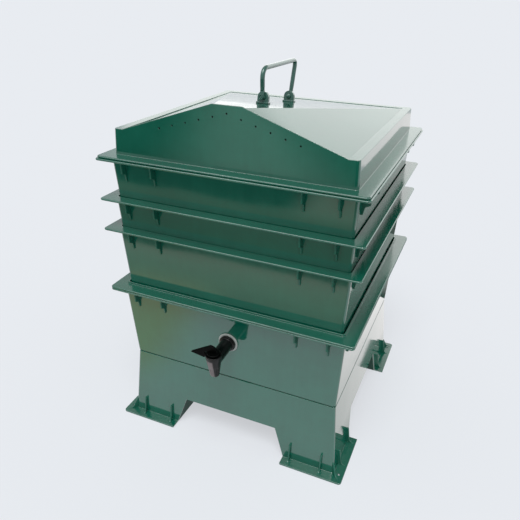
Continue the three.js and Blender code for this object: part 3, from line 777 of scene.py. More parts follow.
class Pattern:
    """A geometry node tree with named inputs, which places copies of a piece's mesh."""

    def __init__(self, name: str, inputs: dict[str, str]) -> None:
        """Makes the tree's sockets.

        Args:
            name: the tree's name.
            inputs: socket types by the inputs' names.
        """
        self.tree = bpy.data.node_groups.new(name, "GeometryNodeTree")
        self.graph = Graph(self.tree)
        sockets = {"Geometry": "NodeSocketGeometry", **inputs, "Material": "NodeSocketMaterial"}
        self.identifiers: dict[str, str] = {}
        for label, kind in sockets.items():
            item = self.tree.interface.new_socket(label, in_out="INPUT", socket_type=kind)
            self.identifiers[label] = item.identifier
        self.tree.interface.new_socket(
            "Geometry", in_out="OUTPUT", socket_type="NodeSocketGeometry"
        )
        self.source = self.graph.node("NodeGroupInput")

    def given(self, label: str) -> Signal:
        """An input as a signal."""
        return self.graph.signal(self.source, label)

    def vector(self, x: Any = 0.0, y: Any = 0.0, z: Any = 0.0) -> bpy.types.NodeSocket:
        """A vector from numbers or signals."""
        return self.graph.node("ShaderNodeCombineXYZ", None, {0: x, 1: y, 2: z}).outputs[0]

    def line(self, count: Any, start: Any, step: Any) -> bpy.types.NodeSocket:
        """Points in a row.

        Args:
            count: how many.
            start: the first one's place.
            step: from one to the next.

        Returns:
            The mesh socket.
        """
        values = {"Count": count, "Start Location": start, "Offset": step}
        return self.graph.node("GeometryNodeMeshLine", None, values).outputs[0]

    def index(self) -> Signal:
        """The number of each copy."""
        return self.graph.signal(self.graph.node("GeometryNodeInputIndex"))

    def _real(self, geometry: Any) -> bpy.types.NodeSocket:
        """The geometry with its instances made real."""
        return self.graph.node("GeometryNodeRealizeInstances", None, {0: geometry}).outputs[0]

    def copies(self, points: Any, turn: Any = None) -> bpy.types.NodeSocket:
        """Real copies of the piece on points.

        Args:
            points: the points.
            turn: the rotation of each copy.

        Returns:
            The geometry socket.
        """
        values = {"Points": points, "Instance": self.source.outputs["Geometry"]}
        if turn is not None:
            values["Rotation"] = turn
        placed = self.graph.node("GeometryNodeInstanceOnPoints", None, values)
        return self._real(placed.outputs[0])

    def end(self, geometry: Any) -> "Pattern":
        """Ends the tree in Realize Instances and Set Material."""
        values = {"Geometry": self._real(geometry), "Material": self.source.outputs["Material"]}
        dressed = self.graph.node("GeometryNodeSetMaterial", None, values)
        self.graph.node("NodeGroupOutput", None, {0: dressed.outputs[0]})
        return self

    def put_on(
        self, obj: bpy.types.Object, material: bpy.types.Material, values: dict[str, Any]
    ) -> None:
        """Adds the tree to an object as a modifier with its inputs set."""
        modifier = obj.modifiers.new(self.tree.name, "NODES")
        modifier.node_group = self.tree
        for label, value in {**values, "Material": material}.items():
            modifier[self.identifiers[label]] = value

    @classmethod
    def pairs(cls) -> "Pattern":
        """Copies along Y at an inner and an outer place on both sides of the middle."""
        pattern = cls("paired_places", {"Inner": "NodeSocketFloat", "Outer": "NodeSocketFloat"})
        inner, outer = pattern.given("Inner"), pattern.given("Outer")
        joined = pattern.graph.node("GeometryNodeJoinGeometry")
        for side in (1.0, -1.0):
            start = pattern.vector(y=inner * side)
            row = pattern.line(2, start, pattern.vector(y=(outer - inner) * side))
            pattern.tree.links.new(pattern.copies(row), joined.inputs[0])
        return pattern.end(joined.outputs[0])

    @classmethod
    def round_square(cls) -> "Pattern":
        """Four copies, each a quarter turn on from the last."""
        pattern = cls("four_quarter_turns", {"Turn": "NodeSocketFloat"})
        points = pattern.line(4, (0.0, 0.0, 0.0), (0.0, 0.0, 0.0))
        euler = pattern.vector(z=pattern.index() * QUARTER + pattern.given("Turn"))
        turn = pattern.graph.node("FunctionNodeEulerToRotation", None, {0: euler}).outputs[0]
        return pattern.end(pattern.copies(points, turn))

    @classmethod
    def grid(cls) -> "Pattern":
        """Copies in rows across a floor, welded where they meet."""
        inputs = {"Across": "NodeSocketInt", "Pitch": "NodeSocketFloat"}
        pattern = cls("perforated_floor", inputs)
        across, pitch = pattern.given("Across"), pattern.given("Pitch")
        size = (across - 1.0) * pitch
        values = {"Size X": size, "Size Y": size, "Vertices X": across, "Vertices Y": across}
        points = pattern.graph.node("GeometryNodeMeshGrid", None, values).outputs[0]
        values = {"Geometry": pattern.copies(points), "Distance": 2e-5}
        welded = pattern.graph.node("GeometryNodeMergeByDistance", None, values)
        return pattern.end(welded.outputs[0])

    @classmethod
    def vent_row(cls) -> "Pattern":
        """Copies in a row along X that falls to both sides from its middle."""
        inputs = {
            "Count": "NodeSocketInt",
            "Pitch": "NodeSocketFloat",
            "Fall": "NodeSocketFloat",
            "Lean": "NodeSocketFloat",
        }
        pattern = cls("vent_row", inputs)
        count, pitch = pattern.given("Count"), pattern.given("Pitch")
        middle = (count - 1.0) / 2.0
        row = pattern.line(count, pattern.vector(x=middle * pitch * -1.0), pattern.vector(x=pitch))
        drop = abs(pattern.index() - middle) / middle * pattern.given("Fall") * -1.0
        shift = pattern.vector(y=drop * pattern.given("Lean"), z=drop)
        values = {"Geometry": row, "Offset": shift}
        placed = pattern.graph.node("GeometryNodeSetPosition", None, values)
        return pattern.end(pattern.copies(placed.outputs[0]))

    @classmethod
    def row(cls) -> "Pattern":
        """Copies in a straight row."""
        pattern = cls("straight_row", {"Count": "NodeSocketInt", "Step": "NodeSocketVector"})
        step = pattern.source.outputs["Step"]
        row = pattern.line(pattern.given("Count"), (0.0, 0.0, 0.0), step)
        return pattern.end(pattern.copies(row))


class PatternBook:
    """The patterns, each built once."""

    def __init__(self) -> None:
        """Builds them."""
        self.pairs = Pattern.pairs()
        self.round_square = Pattern.round_square()
        self.grid = Pattern.grid()
        self.vent_row = Pattern.vent_row()
        self.row = Pattern.row()


# ---- the workshop that finishes pieces


@dataclass(frozen=True)
class Edge:
    """How the edges of a piece are rounded: width in millimetres, steps and least angle."""

    width: float = 0.8
    steps: int = 3
    angle: float = 32.0


@dataclass
class Workshop:
    """Turns drafts into finished pieces on their bodies."""

    palette: Palette
    patterns: PatternBook
    frames: "Frames"
    finished: list[bpy.types.Object] = field(default_factory=list)

    def round_edges(self, obj: bpy.types.Object, edge: Edge) -> None:
        """Adds a bevel in millimetres to a piece in metres."""
        bevel = obj.modifiers.new("rounding", "BEVEL")
        bevel.width = edge.width * MM
        bevel.segments = edge.steps
        bevel.limit_method = "ANGLE"
        bevel.angle_limit = math.radians(edge.angle)
        bevel.use_clamp_overlap = False
        bevel.miter_outer = "MITER_ARC" if edge.steps > 2 else "MITER_SHARP"

    def cut(self, obj: bpy.types.Object, cutter: bpy.types.Object) -> None:
        """Adds a cut by another object, which is hidden later."""
        boolean = obj.modifiers.new("cut", "BOOLEAN")
        boolean.operation = "DIFFERENCE"
        boolean.solver = "MANIFOLD"
        boolean.object = cutter

    def even_shading(self, obj: bpy.types.Object) -> None:
        """Adds normals that keep large faces flat beside their rounded edges."""
        weighted = obj.modifiers.new("even shading", "WEIGHTED_NORMAL")
        weighted.keep_sharp = True
        weighted.weight = 60

    def settle(self, obj: bpy.types.Object) -> None:
        """Replaces an object's mesh by its evaluated one, without modifiers."""
        bpy.context.view_layer.update()
        depsgraph = bpy.context.evaluated_depsgraph_get()
        mesh = bpy.data.meshes.new_from_object(
            obj.evaluated_get(depsgraph), preserve_all_data_layers=True, depsgraph=depsgraph
        )
        obj.modifiers.clear()
        old, obj.data = obj.data, mesh
        mesh.name = obj.name
        bpy.data.meshes.remove(old)

    def discard(self, obj: bpy.types.Object) -> None:
        """Removes a cutter."""
        mesh = obj.data
        bpy.data.objects.remove(obj)
        bpy.data.meshes.remove(mesh)

    def carve(
        self,
        obj: bpy.types.Object,
        cutters: Sequence[bpy.types.Object],
        edge: Edge | None = None,
    ) -> None:
        """Cuts a piece, rounds it, settles it and removes the cutters.

        Args:
            obj: the piece.
            cutters: what is cut from it.
            edge: how its edges are rounded after the cuts.
        """
        for cutter in cutters:
            self.cut(obj, cutter)
        if edge is not None:
            self.round_edges(obj, edge)
        self.even_shading(obj)
        self.settle(obj)
        for cutter in cutters:
            self.discard(cutter)

    def place(
        self,
        obj: bpy.types.Object,
        body: Body,
        slot: Slot,
        nodes: Sequence[str] = (),
        shift: Matrix | None = None,
        finish: Slot | Special | None = None,
    ) -> None:
        """Puts a settled piece on its body in its finish.

        Args:
            obj: the piece.
            body: the body that it rides on.
            slot: its material slot.
            nodes: the CAD nodes that it stands for.
            shift: a last move of its mesh, in metres.
            finish: a finish in place of the slot's own.
        """
        if shift is not None:
            obj.data.transform(shift)
        faces = obj.data.polygons
        obj.data.materials.clear()
        obj.data.materials.append(self.palette.of(finish or slot))
        level = obj.data.attributes.new(LEVEL_FACE, "FLOAT", "FACE")
        level.data.foreach_set("value", [float(face.normal.z > LEVEL_NORMAL) for face in faces])
        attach(obj, body.value)
        if nodes:
            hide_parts(*nodes)
        self.finished.append(obj)
        LOG.info("%s: %d faces on %s", obj.name, len(faces), body.value)

    def make(
        self,
        name: str,
        draft: Draft,
        place: Matrix,
        edge: Edge | None,
        body: Body,
        slot: Slot,
        nodes: Sequence[str] = (),
        cutter: Draft | None = None,
        finish: Slot | Special | None = None,
    ) -> None:
        """Builds, rounds, cuts and places a simple piece.

        Args:
            name: the piece's name.
            draft: its form.
            place: from the draft's millimetres to row metres.
            edge: how its edges are rounded.
            body: the body that it rides on.
            slot: its material slot.
            nodes: the CAD nodes that it stands for.
            cutter: what is cut from it, in the same frame.
            finish: a finish in place of the slot's own.
        """
        obj = draft.build(name, place)
        tools = [] if cutter is None else [cutter.build(name + "_cutter", place)]
        self.carve(obj, tools, edge)
        self.place(obj, body, slot, nodes, finish=finish)

    def make_repeated(
        self,
        name: str,
        draft: Draft,
        edge: Edge | None,
        repeats: Sequence[tuple[Pattern, dict[str, Any]]],
        body: Body,
        slot: Slot = Slot.GREEN_PLASTIC,
        nodes: Sequence[str] = (),
        shift: Matrix | None = None,
        finish: Slot | Special | None = None,
    ) -> None:
        """Builds one copy, repeats it by patterns and places them all as one piece.

        Args:
            name: the piece's name.
            draft: the form of one copy.
            edge: how its edges are rounded.
            repeats: the patterns with their inputs, in order.
            body: the body that the piece rides on.
            slot: its material slot.
            nodes: the CAD nodes that it stands for.
            shift: its place, from metres, where it isn't round the trays' axis.
            finish: a finish in place of the slot's own.
        """
        obj = draft.build(name, FROM_MM)
        if edge is not None:
            self.round_edges(obj, edge)
        for pattern, values in repeats:
            pattern.put_on(obj, self.palette.of(finish or slot), values)
        self.even_shading(obj)
        self.settle(obj)
        where = self.frames.middle if shift is None else shift
        self.place(obj, body, slot, nodes, where, finish)


@dataclass(frozen=True)
class Frames:
    """The frames that the sub-assemblies are drawn in, from millimetres to row metres."""

    centre_y: float
    handle: Matrix
    tap: Matrix

    @classmethod
    def read(cls, pin_height: float, tap_reach: float) -> "Frames":
        """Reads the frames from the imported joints.

        Args:
            pin_height: from the roof to the handle's pins.
            tap_reach: from the sump's wall to the tap's plug.

        Returns:
            The frames.
        """
        low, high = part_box("tray_lower")
        joints = {joint["name"]: joint for joint in frame["joints"]}
        fold, turn = joints["handle_fold"], joints["tap_turn"]
        across = Vector((1.0, 0.0, 0.0))
        along = Vector(fold["axis"]).normalized()
        up = across.cross(along)
        base = Vector(fold["pos_m"]) - up * pin_height * MM
        plug = Vector(turn["axis"]).normalized()
        inward = plug.cross(across)
        root = Vector(turn["pos_m"]) + inward * tap_reach * MM
        return cls(
            (low.y + high.y) / 2,
            cls._matrix(across, along, up, base),
            cls._matrix(across, inward, plug, root),
        )

    @staticmethod
    def _matrix(x: Vector, y: Vector, z: Vector, origin: Vector) -> Matrix:
        """A frame in metres from millimetres."""
        turned = Matrix((x, y, z)).transposed().to_4x4()
        return Matrix.Translation(origin) @ turned @ FROM_MM

    @property
    def middle(self) -> Matrix:
        """The frame round the trays' upright axis, in metres."""
        return Matrix.Translation((0.0, self.centre_y, 0.0))

    @property
    def stack(self) -> Matrix:
        """The frame round the trays' upright axis, from millimetres."""
        return self.middle @ FROM_MM


# ---- sizes that several sub-assemblies share


@dataclass(frozen=True)
class Mould:
    """Sizes that the stacked mouldings share, in millimetres."""

    tray_flange_half: float = 247.5
    sump_flange_half: float = 248.0
    flange_thickness: float = 4.0
    flange_corner: float = 7.0
    inner_corner: float = 4.5
    opening_corner: float = 4.0
    overhang: float = 21.0
    wall: float = 2.5
    nest_gap: float = 0.64
    nest_step: float = 59.3
    open_step: float = 74.5
    seat_gap: float = 0.3
    hole_margin: float = 38.0
    web_from_corner: float = 28.5
    web_pitch: float = 60.0

    @property
    def draft(self) -> float:
        """The walls' lean, in millimetres to the millimetre."""
        return (self.wall + self.nest_gap) / self.nest_step

    @property
    def tray_top_half(self) -> float:
        """Half the outer width of a tray's wall at its top."""
        return self.tray_flange_half - self.overhang


MOULD = Mould()


@dataclass(frozen=True)
class Web:
    """A thin web in the angle between a wall and a flange, in millimetres.

    From the flange it curves in to a shoulder, steps in to a waist, and runs on to its tip.
    """

    reach: float = 13.6
    shoulder: float = 13.0
    fillet: float = 21.0
    waist: float = 4.6
    waist_at: float = 25.0
    tip: float = 2.5
    rise: float = 38.0
    thickness: float = 3.0
    root: float = 1.25

    def outline(self, slope: float) -> Outline:
        """The web's corners: out from the wall, and along it from the flange.

        Args:
            slope: how fast the wall leans away.

        Returns:
            The outline.
        """
        edge = bent((self.reach, 0.0), (self.shoulder, 0.0), (self.shoulder, self.fillet), 7)
        corners = [
            (-self.root, 0.0),
            *edge,
            (self.waist, self.waist_at),
            (self.tip, self.rise),
            (-self.root, self.rise),
        ]
        return [(u - slope * v, v) for u, v in corners]

    def draft(self, half: float, level: float, slope: float, up: bool) -> Draft:
        """A web on the wall at +X.

        Args:
            half: the wall's half width at the flange.
            level: the flange's face.
            slope: how fast the wall leans away.
            up: True for a web that stands on the flange, False for one that hangs.

        Returns:
            The draft.
        """
        sign = 1.0 if up else -1.0
        outline = [(half + u, level + sign * v) for u, v in self.outline(slope)]
        return Draft().prism(outline, -self.thickness / 2, self.thickness / 2, Axis.ALONG_Y)


@dataclass(frozen=True)
class WebRows:
    """Two webs on each side of the middle of all four walls."""

    inner: float
    outer: float
    web: Web = Web()

    def build(
        self,
        shop: Workshop,
        name: str,
        body: Body,
        half: float,
        level: float,
        slope: float,
        up: bool,
    ) -> None:
        """Makes the webs of one body.

        Args:
            shop: the workshop.
            name: the piece's name.
            body: the body that it rides on.
            half: the wall's half width at the flange.
            level: the flange's face.
            slope: how fast the wall leans away.
            up: True for webs that stand on the flange.
        """
        places = {"Inner": self.inner * MM, "Outer": self.outer * MM}
        repeats = ((shop.patterns.pairs, places), (shop.patterns.round_square, {"Turn": 0.0}))
        shop.make_repeated(
            name, self.web.draft(half, level, slope, up), Edge(0.4, 2, 50.0), repeats, body,
            finish=Special.SATIN_GREEN,
        )


def hang_webs(shop: Workshop, node: str, body: Body, top: float, top_half: float) -> None:
    """Makes the webs under the flange of a tray or the sump.

    Args:
        shop: the workshop.
        node: the CAD node that they belong to.
        body: the body that they ride on.
        top: the level of the flange's face.
        top_half: the wall's half width there.
    """
    outer = MOULD.tray_top_half - MOULD.web_from_corner
    half = top_half - MOULD.draft * MOULD.flange_thickness
    under = top - MOULD.flange_thickness
    rows = WebRows(outer - MOULD.web_pitch, outer)
    rows.build(shop, node + "_webs", body, half, under, MOULD.draft, False)


@dataclass(frozen=True)
class Floor:
    """A perforated floor slab of square cells with a chamfered hole each."""

    across: int
    hole: float
    reach: float
    thickness: float = 3.0
    chamfer: float = 0.5
    corner: float = 1.2
    sunk: float = 0.06
    overlap: float = 0.6

    @property
    def pitch(self) -> float:
        """From hole to hole."""
        return 2 * self.reach / (self.across - 1)

    @property
    def opening_half(self) -> float:
        """Half the width of the frame that the slab fills, with a small overlap."""
        return self.pitch * self.across / 2 - self.overlap

    def _hole(self, draft: Draft, half: float, level: float) -> list[int]:
        """Adds the ring of a hole, with three points on each of its small round corners."""
        points = []
        for corner, (sx, sy) in enumerate(CORNERS):
            for step in range(3):
                angle = QUARTER * (corner + step / 2)
                x = sx * (half - self.corner) + self.corner * math.cos(angle)
                y = sy * (half - self.corner) + self.corner * math.sin(angle)
                points.append((x, y, level))
        return draft.ring(points)

    def cell(self, low: float) -> Draft:
        """One cell, open at its four sides where its neighbours join it."""
        draft = Draft()
        top = low + self.thickness - self.sunk
        bottom = low + self.sunk
        half = self.pitch / 2
        size = self.hole / 2
        levels = (
            (size + self.chamfer, top),
            (size, top - self.chamfer),
            (size, bottom + self.chamfer),
            (size + self.chamfer, bottom),
        )
        rings = [self._hole(draft, h, z) for h, z in levels]
        for low_ring, high_ring in zip(rings, rings[1:]):
            draft.band(low_ring, high_ring)
        for ring, level in ((rings[0], top), (rings[-1], bottom)):
            outer = draft.ring((x * half, y * half, level) for x, y in CORNERS)
            for k in range(4):
                j = (k + 1) % 4
                near = [ring[3 * j + 1], ring[3 * j], ring[3 * k + 2], ring[3 * k + 1]]
                face = [outer[k], outer[j], *near]
                draft.faces.append(face if level == bottom else face[::-1])
        return draft

    def build(self, shop: Workshop, name: str, body: Body, low: float) -> None:
        """Makes the slab of one body.

        Args:
            shop: the workshop.
            name: the piece's name.
            body: the body that it rides on.
            low: the floor's underside.
        """
        obj = self.cell(low).build(name, FROM_MM)
        values = {"Across": self.across, "Pitch": self.pitch * MM}
        shop.patterns.grid.put_on(obj, shop.palette.of(Slot.GREEN_PLASTIC), values)
        shop.settle(obj)
        work = bmesh.new()
        work.from_mesh(obj.data)
        rim = [edge for edge in work.edges if edge.is_boundary]
        bmesh.ops.bridge_loops(work, edges=rim)
        bmesh.ops.recalc_face_normals(work, faces=work.faces)
        work.to_mesh(obj.data)
        work.free()
        smooth(obj.data)
        shop.even_shading(obj)
        shop.settle(obj)
        shop.place(obj, body, Slot.GREEN_PLASTIC, (), shop.frames.middle)


# ---- sub-assemblies


@dataclass
class Tray:
    """A composting tray: leaning walls, flange with webs, perforated floor, corner posts."""

    node: str
    body: Body
    post_step: float
    depth: float = 150.0
    floor_thickness: float = 3.0
    post_leg: float = 34.0
    post_web: float = 2.5
    post_setback: float = 14.0
    holes: int = 8
    hole: float = 11.0

    @property
    def top(self) -> float:
        """The level of the flange's face."""
        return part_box(self.node)[1].z / MM

    @property
    def floor_half(self) -> float:
        """Half the inner width at the tray's foot."""
        return MOULD.tray_top_half - MOULD.draft * self.depth - MOULD.wall

    @property
    def floor(self) -> Floor:
        """The perforated slab."""
        return Floor(self.holes, self.hole, self.floor_half - MOULD.hole_margin)

    def shell(self) -> Draft:
        """The walls with the flange and the floor's frame, as one closed loft."""
        top, bottom = self.top, self.top - self.depth
        wall, draft = MOULD.wall, MOULD.draft
        floor_top = bottom + self.floor_thickness
        outer = MOULD.tray_top_half
        under = top - MOULD.flange_thickness
        opening, snug = self.floor.opening_half, MOULD.opening_corner
        return Draft().squares(
            [
                *lip(MOULD.tray_flange_half, top, under, MOULD.flange_corner),
                Section(outer - draft * (top - under), under),
                Section(outer - draft * self.depth, bottom),
                Section(opening, bottom, snug),
                Section(opening, floor_top, snug),
                Section(outer - wall - draft * (top - floor_top), floor_top, MOULD.inner_corner),
                Section(outer - wall, top, MOULD.inner_corner),
            ],
            closed=True,
        )

    def post(self) -> Draft:
        """The angle post of one corner."""
        far = self.floor_half - self.post_setback
        near = far - self.post_leg
        inner = far - self.post_web
        low = self.top - self.depth + self.floor_thickness
        high = low + self.post_step - self.floor_thickness - MOULD.seat_gap
        outline = [
            (near, far), (near, inner), (inner, inner), (inner, near), (far, near), (far, far)
        ]
        return Draft().prism(outline, low - self.floor_thickness / 2, high, Axis.ALONG_Z)

    def build(self, shop: Workshop) -> None:
        """Makes the tray's pieces."""
        shop.make(
            self.node + "_shell", self.shell(), shop.frames.stack, Edge(), self.body,
            Slot.GREEN_PLASTIC, (self.node,),
        )
        hang_webs(shop, self.node, self.body, self.top, MOULD.tray_top_half)
        self.floor.build(shop, self.node + "_floor", self.body, self.top - self.depth)
        shop.make_repeated(
            self.node + "_posts", self.post(), Edge(0.5, 2, 50.0),
            ((shop.patterns.round_square, {"Turn": 0.0}),), self.body,
        )


@dataclass
class Insert:
    """The drain insert: a shallow perforated tray with a rim round the lowest tray."""

    wall: float = 2.0
    floor_thickness: float = 3.0
    depth: float = 25.6
    rim_height: float = 4.0
    rim_width: float = 3.0
    play: float = 2.0
    drains: int = 7
    drain_size: float = 4.0
    drain_chamfer: float = 0.4
    drain_corner: float = 0.8

    @property
    def top(self) -> float:
        """The level of the flange's face."""
        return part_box("sump_insert")[1].z / MM - self.rim_height

    @property
    def top_half(self) -> float:
        """Half the outer width of the wall at the flange's face."""
        tray_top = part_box("tray_lower")[1].z / MM
        return MOULD.tray_top_half - MOULD.draft * (tray_top - self.top) + self.play + self.wall

    def build(self, shop: Workshop) -> None:
        """Makes the insert's pieces."""
        top, draft = self.top, MOULD.draft
        under = top - MOULD.flange_thickness
        floor_top = top - self.depth
        bottom = floor_top - self.floor_thickness
        outer, inner = self.top_half, self.top_half - self.wall
        reach = Tray("tray_lower", Body.TRAY_LOWER, 0.0).floor_half - MOULD.hole_margin
        floor = Floor(
            self.drains, self.drain_size, reach,
            chamfer=self.drain_chamfer, corner=self.drain_corner,
        )
        snug, inside = MOULD.opening_corner, MOULD.inner_corner
        rim = inner + self.rim_width
        shell = Draft().squares(
            [
                *lip(MOULD.sump_flange_half, top, under, MOULD.flange_corner),
                Section(outer - draft * (top - under), under),
                Section(outer - draft * (top - bottom), bottom),
                Section(floor.opening_half, bottom, snug),
                Section(floor.opening_half, floor_top, snug),
                Section(inner - draft * self.depth, floor_top, inside),
                Section(inner + draft * self.rim_height, top + self.rim_height, inside),
                Section(rim, top + self.rim_height),
                Section(rim, top),
            ],
            closed=True,
        )
        shop.make(
            "sump_insert_shell", shell, shop.frames.stack, Edge(0.7), Body.INSERT,
            Slot.GREEN_PLASTIC, ("sump_insert",),
        )
        floor.build(shop, "sump_insert_floor", Body.INSERT, bottom)


@dataclass
class Sump:
    """The sump: a walled basin with a sloping floor on a spigot that drops into the stand."""

    wall: float = 2.5
    floor_thickness: float = 3.0
    floor_middle: float = 233.3
    fall: float = 18.0
    seat_thickness: float = 3.0
    spigot_depth: float = 12.0
    spigot_wall: float = 2.5
    spigot_play: float = 0.6
    stand_wall: float = 3.0
    insert_play: float = 1.0
    rebate_height: float = 3.0
    rebate_depth: float = 1.9
    spigot_corner: float = 5.0
    tap_hole: float = 12.8
    tap_hole_reach: float = 12.0

    @property
    def top(self) -> float:
        """The level of the flange's face."""
        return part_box("sump_tray")[1].z / MM

    @property
    def bottom(self) -> float:
        """The level of the wall's lower edge."""
        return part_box("sump_tray")[0].z / MM + self.spigot_depth

    @property
    def top_half(self) -> float:
        """Half the outer width of the wall at the flange's face."""
        return Insert().top_half + self.insert_play + self.wall

    @property
    def bottom_half(self) -> float:
        """Half the outer width of the wall at its lower edge."""
        return self.top_half - MOULD.draft * (self.top - self.bottom)

    def shell(self) -> Draft:
        """The basin with its flange, sloping floor, seat and spigot."""
        top, bottom, draft = self.top, self.bottom, MOULD.draft
        under = top - MOULD.flange_thickness
        tilt = self.fall / (2 * self.top_half)
        spigot = self.bottom_half - self.stand_wall - self.spigot_play
        foot = bottom - self.spigot_depth
        seat = bottom + self.seat_thickness
        inner = self.top_half - self.wall
        middle = self.floor_middle
        below = middle - self.floor_thickness
        edge, ledge = self.bottom_half - self.rebate_depth, bottom + self.rebate_height
        inside, snug, corner = MOULD.inner_corner, MOULD.opening_corner, self.spigot_corner
        return Draft().squares(
            [
                Section(inner - draft * (top - middle), middle, inside, tilt, draft),
                Section(inner, top, inside),
                *lip(MOULD.sump_flange_half, top, under, MOULD.flange_corner),
                Section(self.top_half - draft * (top - under), under),
                Section(self.bottom_half + draft * self.rebate_height, ledge),
                Section(edge, ledge, corner),
                Section(edge, bottom, corner),
                Section(spigot, bottom, corner),
                Section(spigot, foot, corner),
                Section(spigot - self.spigot_wall, foot, snug),
                Section(spigot - self.spigot_wall, seat, snug),
                Section(self.bottom_half - self.wall, seat, snug),
                Section(self.bottom_half - self.wall, below, snug, tilt),
            ],
            closed=False,
        )

    def build(self, shop: Workshop) -> None:
        """Makes the sump's pieces."""
        obj = self.shell().build("sump_tray_shell", shop.frames.stack)
        cutter = Draft().rod(self.tap_hole, -self.tap_hole_reach, self.tap_hole_reach, 40)
        shop.round_edges(obj, Edge())
        shop.carve(obj, [cutter.build("tap_hole_cutter", shop.frames.tap)])
        shop.place(obj, Body.SUMP, Slot.GREEN_PLASTIC, ("sump_tray",), finish=Special.SUMP_WALL)
        hang_webs(shop, "sump_tray", Body.SUMP, self.top, self.top_half)


@dataclass
class Stand:
    """The stand: a flared skirt with an arch in each side and a flanged foot at each corner."""

    wall: float = 3.0
    flare: float = 13.2
    foot_reach: float = 19.5
    foot_length: float = 127.0
    foot_thickness: float = 4.0
    arch_height: float = 67.0
    arch_top_half: float = 102.0
    web_inset: float = 13.5
    pillar_wall: float = 3.0
    pillar_gap: float = 0.4
    pillar_setback: float = 0.05
    pillar_root: float = 1.0
    hole: float = 2.6
    hole_inset: float = 22.5
    cut_reach: float = 5.0
    fin_setback: float = 6.0
    fin_root: float = 3.0
    web: Web = Web(
        reach=15.5, shoulder=6.8, fillet=11.0, waist=6.2, waist_at=14.0, tip=5.2, rise=37.0,
        root=1.5,
    )
    fin: Web = Web(
        shoulder=7.5, fillet=12.0, waist=5.5, waist_at=15.0, tip=1.5, rise=24.0, root=1.5
    )

    @property
    def top(self) -> float:
        """The level of the upper edge."""
        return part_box("stand")[1].z / MM

    def _arch(self, bottom_half: float) -> Outline:
        """The trapezoid of an arch, run past the ground."""
        slant = (bottom_half - self.arch_top_half) / self.arch_height
        low_half = bottom_half + slant * self.cut_reach
        return [
            (-low_half, -self.cut_reach),
            (low_half, -self.cut_reach),
            (self.arch_top_half, self.arch_height),
            (-self.arch_top_half, self.arch_height),
        ]

    def build(self, shop: Workshop) -> None:
        """Makes the stand's pieces."""
        top_half = Sump().bottom_half
        low_half = top_half + self.flare
        lean = self.flare / self.top
        foot_half = low_half + self.foot_reach
        arch_half = foot_half - self.foot_length
        foot_top = self.foot_thickness
        wall_half = low_half - lean * foot_top
        shell = Draft().squares(
            [
                Section(top_half, self.top),
                Section(wall_half, foot_top),
                Section(foot_half, foot_top),
                Section(foot_half, 0.0),
                Section(low_half - self.wall, 0.0, 4.5),
                Section(top_half - self.wall, self.top, 4.5),
            ],
            closed=True,
        )
        place = shop.frames.stack
        obj = shell.build("stand_shell", place)
        outline = self._arch(arch_half)
        end = foot_half + self.cut_reach
        arches = [
            Draft()
            .prism(outline, -end, end, Axis.ALONG_Y)
            .moved(Matrix.Rotation(turn, 4, "Z"))
            .build("arch_cutter", place)
            for turn in (0.0, QUARTER)
        ]
        shop.carve(obj, arches, Edge())
        x, y = foot_half - self.foot_reach / 2, foot_half - self.hole_inset
        holes = [
            Draft()
            .rod(self.hole, -self.cut_reach, foot_top + self.cut_reach, 20, Axis.ALONG_Z)
            .moved(Matrix.Translation((sx * x, sy * y, 0.0)))
            .build("foot_hole_cutter", place)
            for sx in (1, -1)
            for sy in (1, -1)
        ]
        shop.carve(obj, holes)
        shop.place(obj, Body.STAND, Slot.GREEN_PLASTIC, ("stand",), finish=Special.STAND_WALL)
        rows = WebRows(
            arch_half + self.web_inset, low_half - MOULD.web_from_corner, self.web
        )
        rows.build(shop, "stand_webs", Body.STAND, wall_half, foot_top, lean, True)
        self._fins(shop, wall_half, lean)
        self._pillars(shop, arch_half, low_half, lean)

    def _pillars(self, shop: Workshop, arch_half: float, low_half: float, lean: float) -> None:
        """Makes the inner walls that close each leg to a hollow pillar, in a darker green that is
        painted shade.
        """
        draft = Draft()
        rings = []
        slant = (arch_half - self.arch_top_half) / self.arch_height
        for level in (self.pillar_gap, self.arch_height - self.pillar_gap):
            near = arch_half - slant * level + self.pillar_setback
            far = low_half - lean * level - self.wall + self.pillar_root
            thick = near + self.pillar_wall
            corners = (
                (far, near), (far, thick), (thick, thick), (thick, far), (near, far), (near, near)
            )
            rings.append(draft.ring((x, y, level) for x, y in corners))
        draft.loft(rings, closed=False)
        # the darker green of these walls is painted shade
        shop.make_repeated(
            "stand_pillars", draft, Edge(0.6, 2, 40.0),
            ((shop.patterns.round_square, {"Turn": 0.0}),), Body.STAND,
            finish=Special.DULL_GREEN_PAINTED_SHADE,
        )

    def _fins(self, shop: Workshop, wall_half: float, lean: float) -> None:
        """Makes the webs on the feet's corners."""
        fin = replace(self.fin, reach=self.foot_reach * math.sqrt(2.0) - self.fin_setback)
        half = wall_half * math.sqrt(2.0) - self.fin_root
        shop.make_repeated(
            "stand_corner_fins", fin.draft(half, self.foot_thickness, lean, True),
            Edge(0.6, 2, 50.0), ((shop.patterns.round_square, {"Turn": QUARTER / 2}),),
            Body.STAND, finish=Special.SATIN_GREEN,
        )


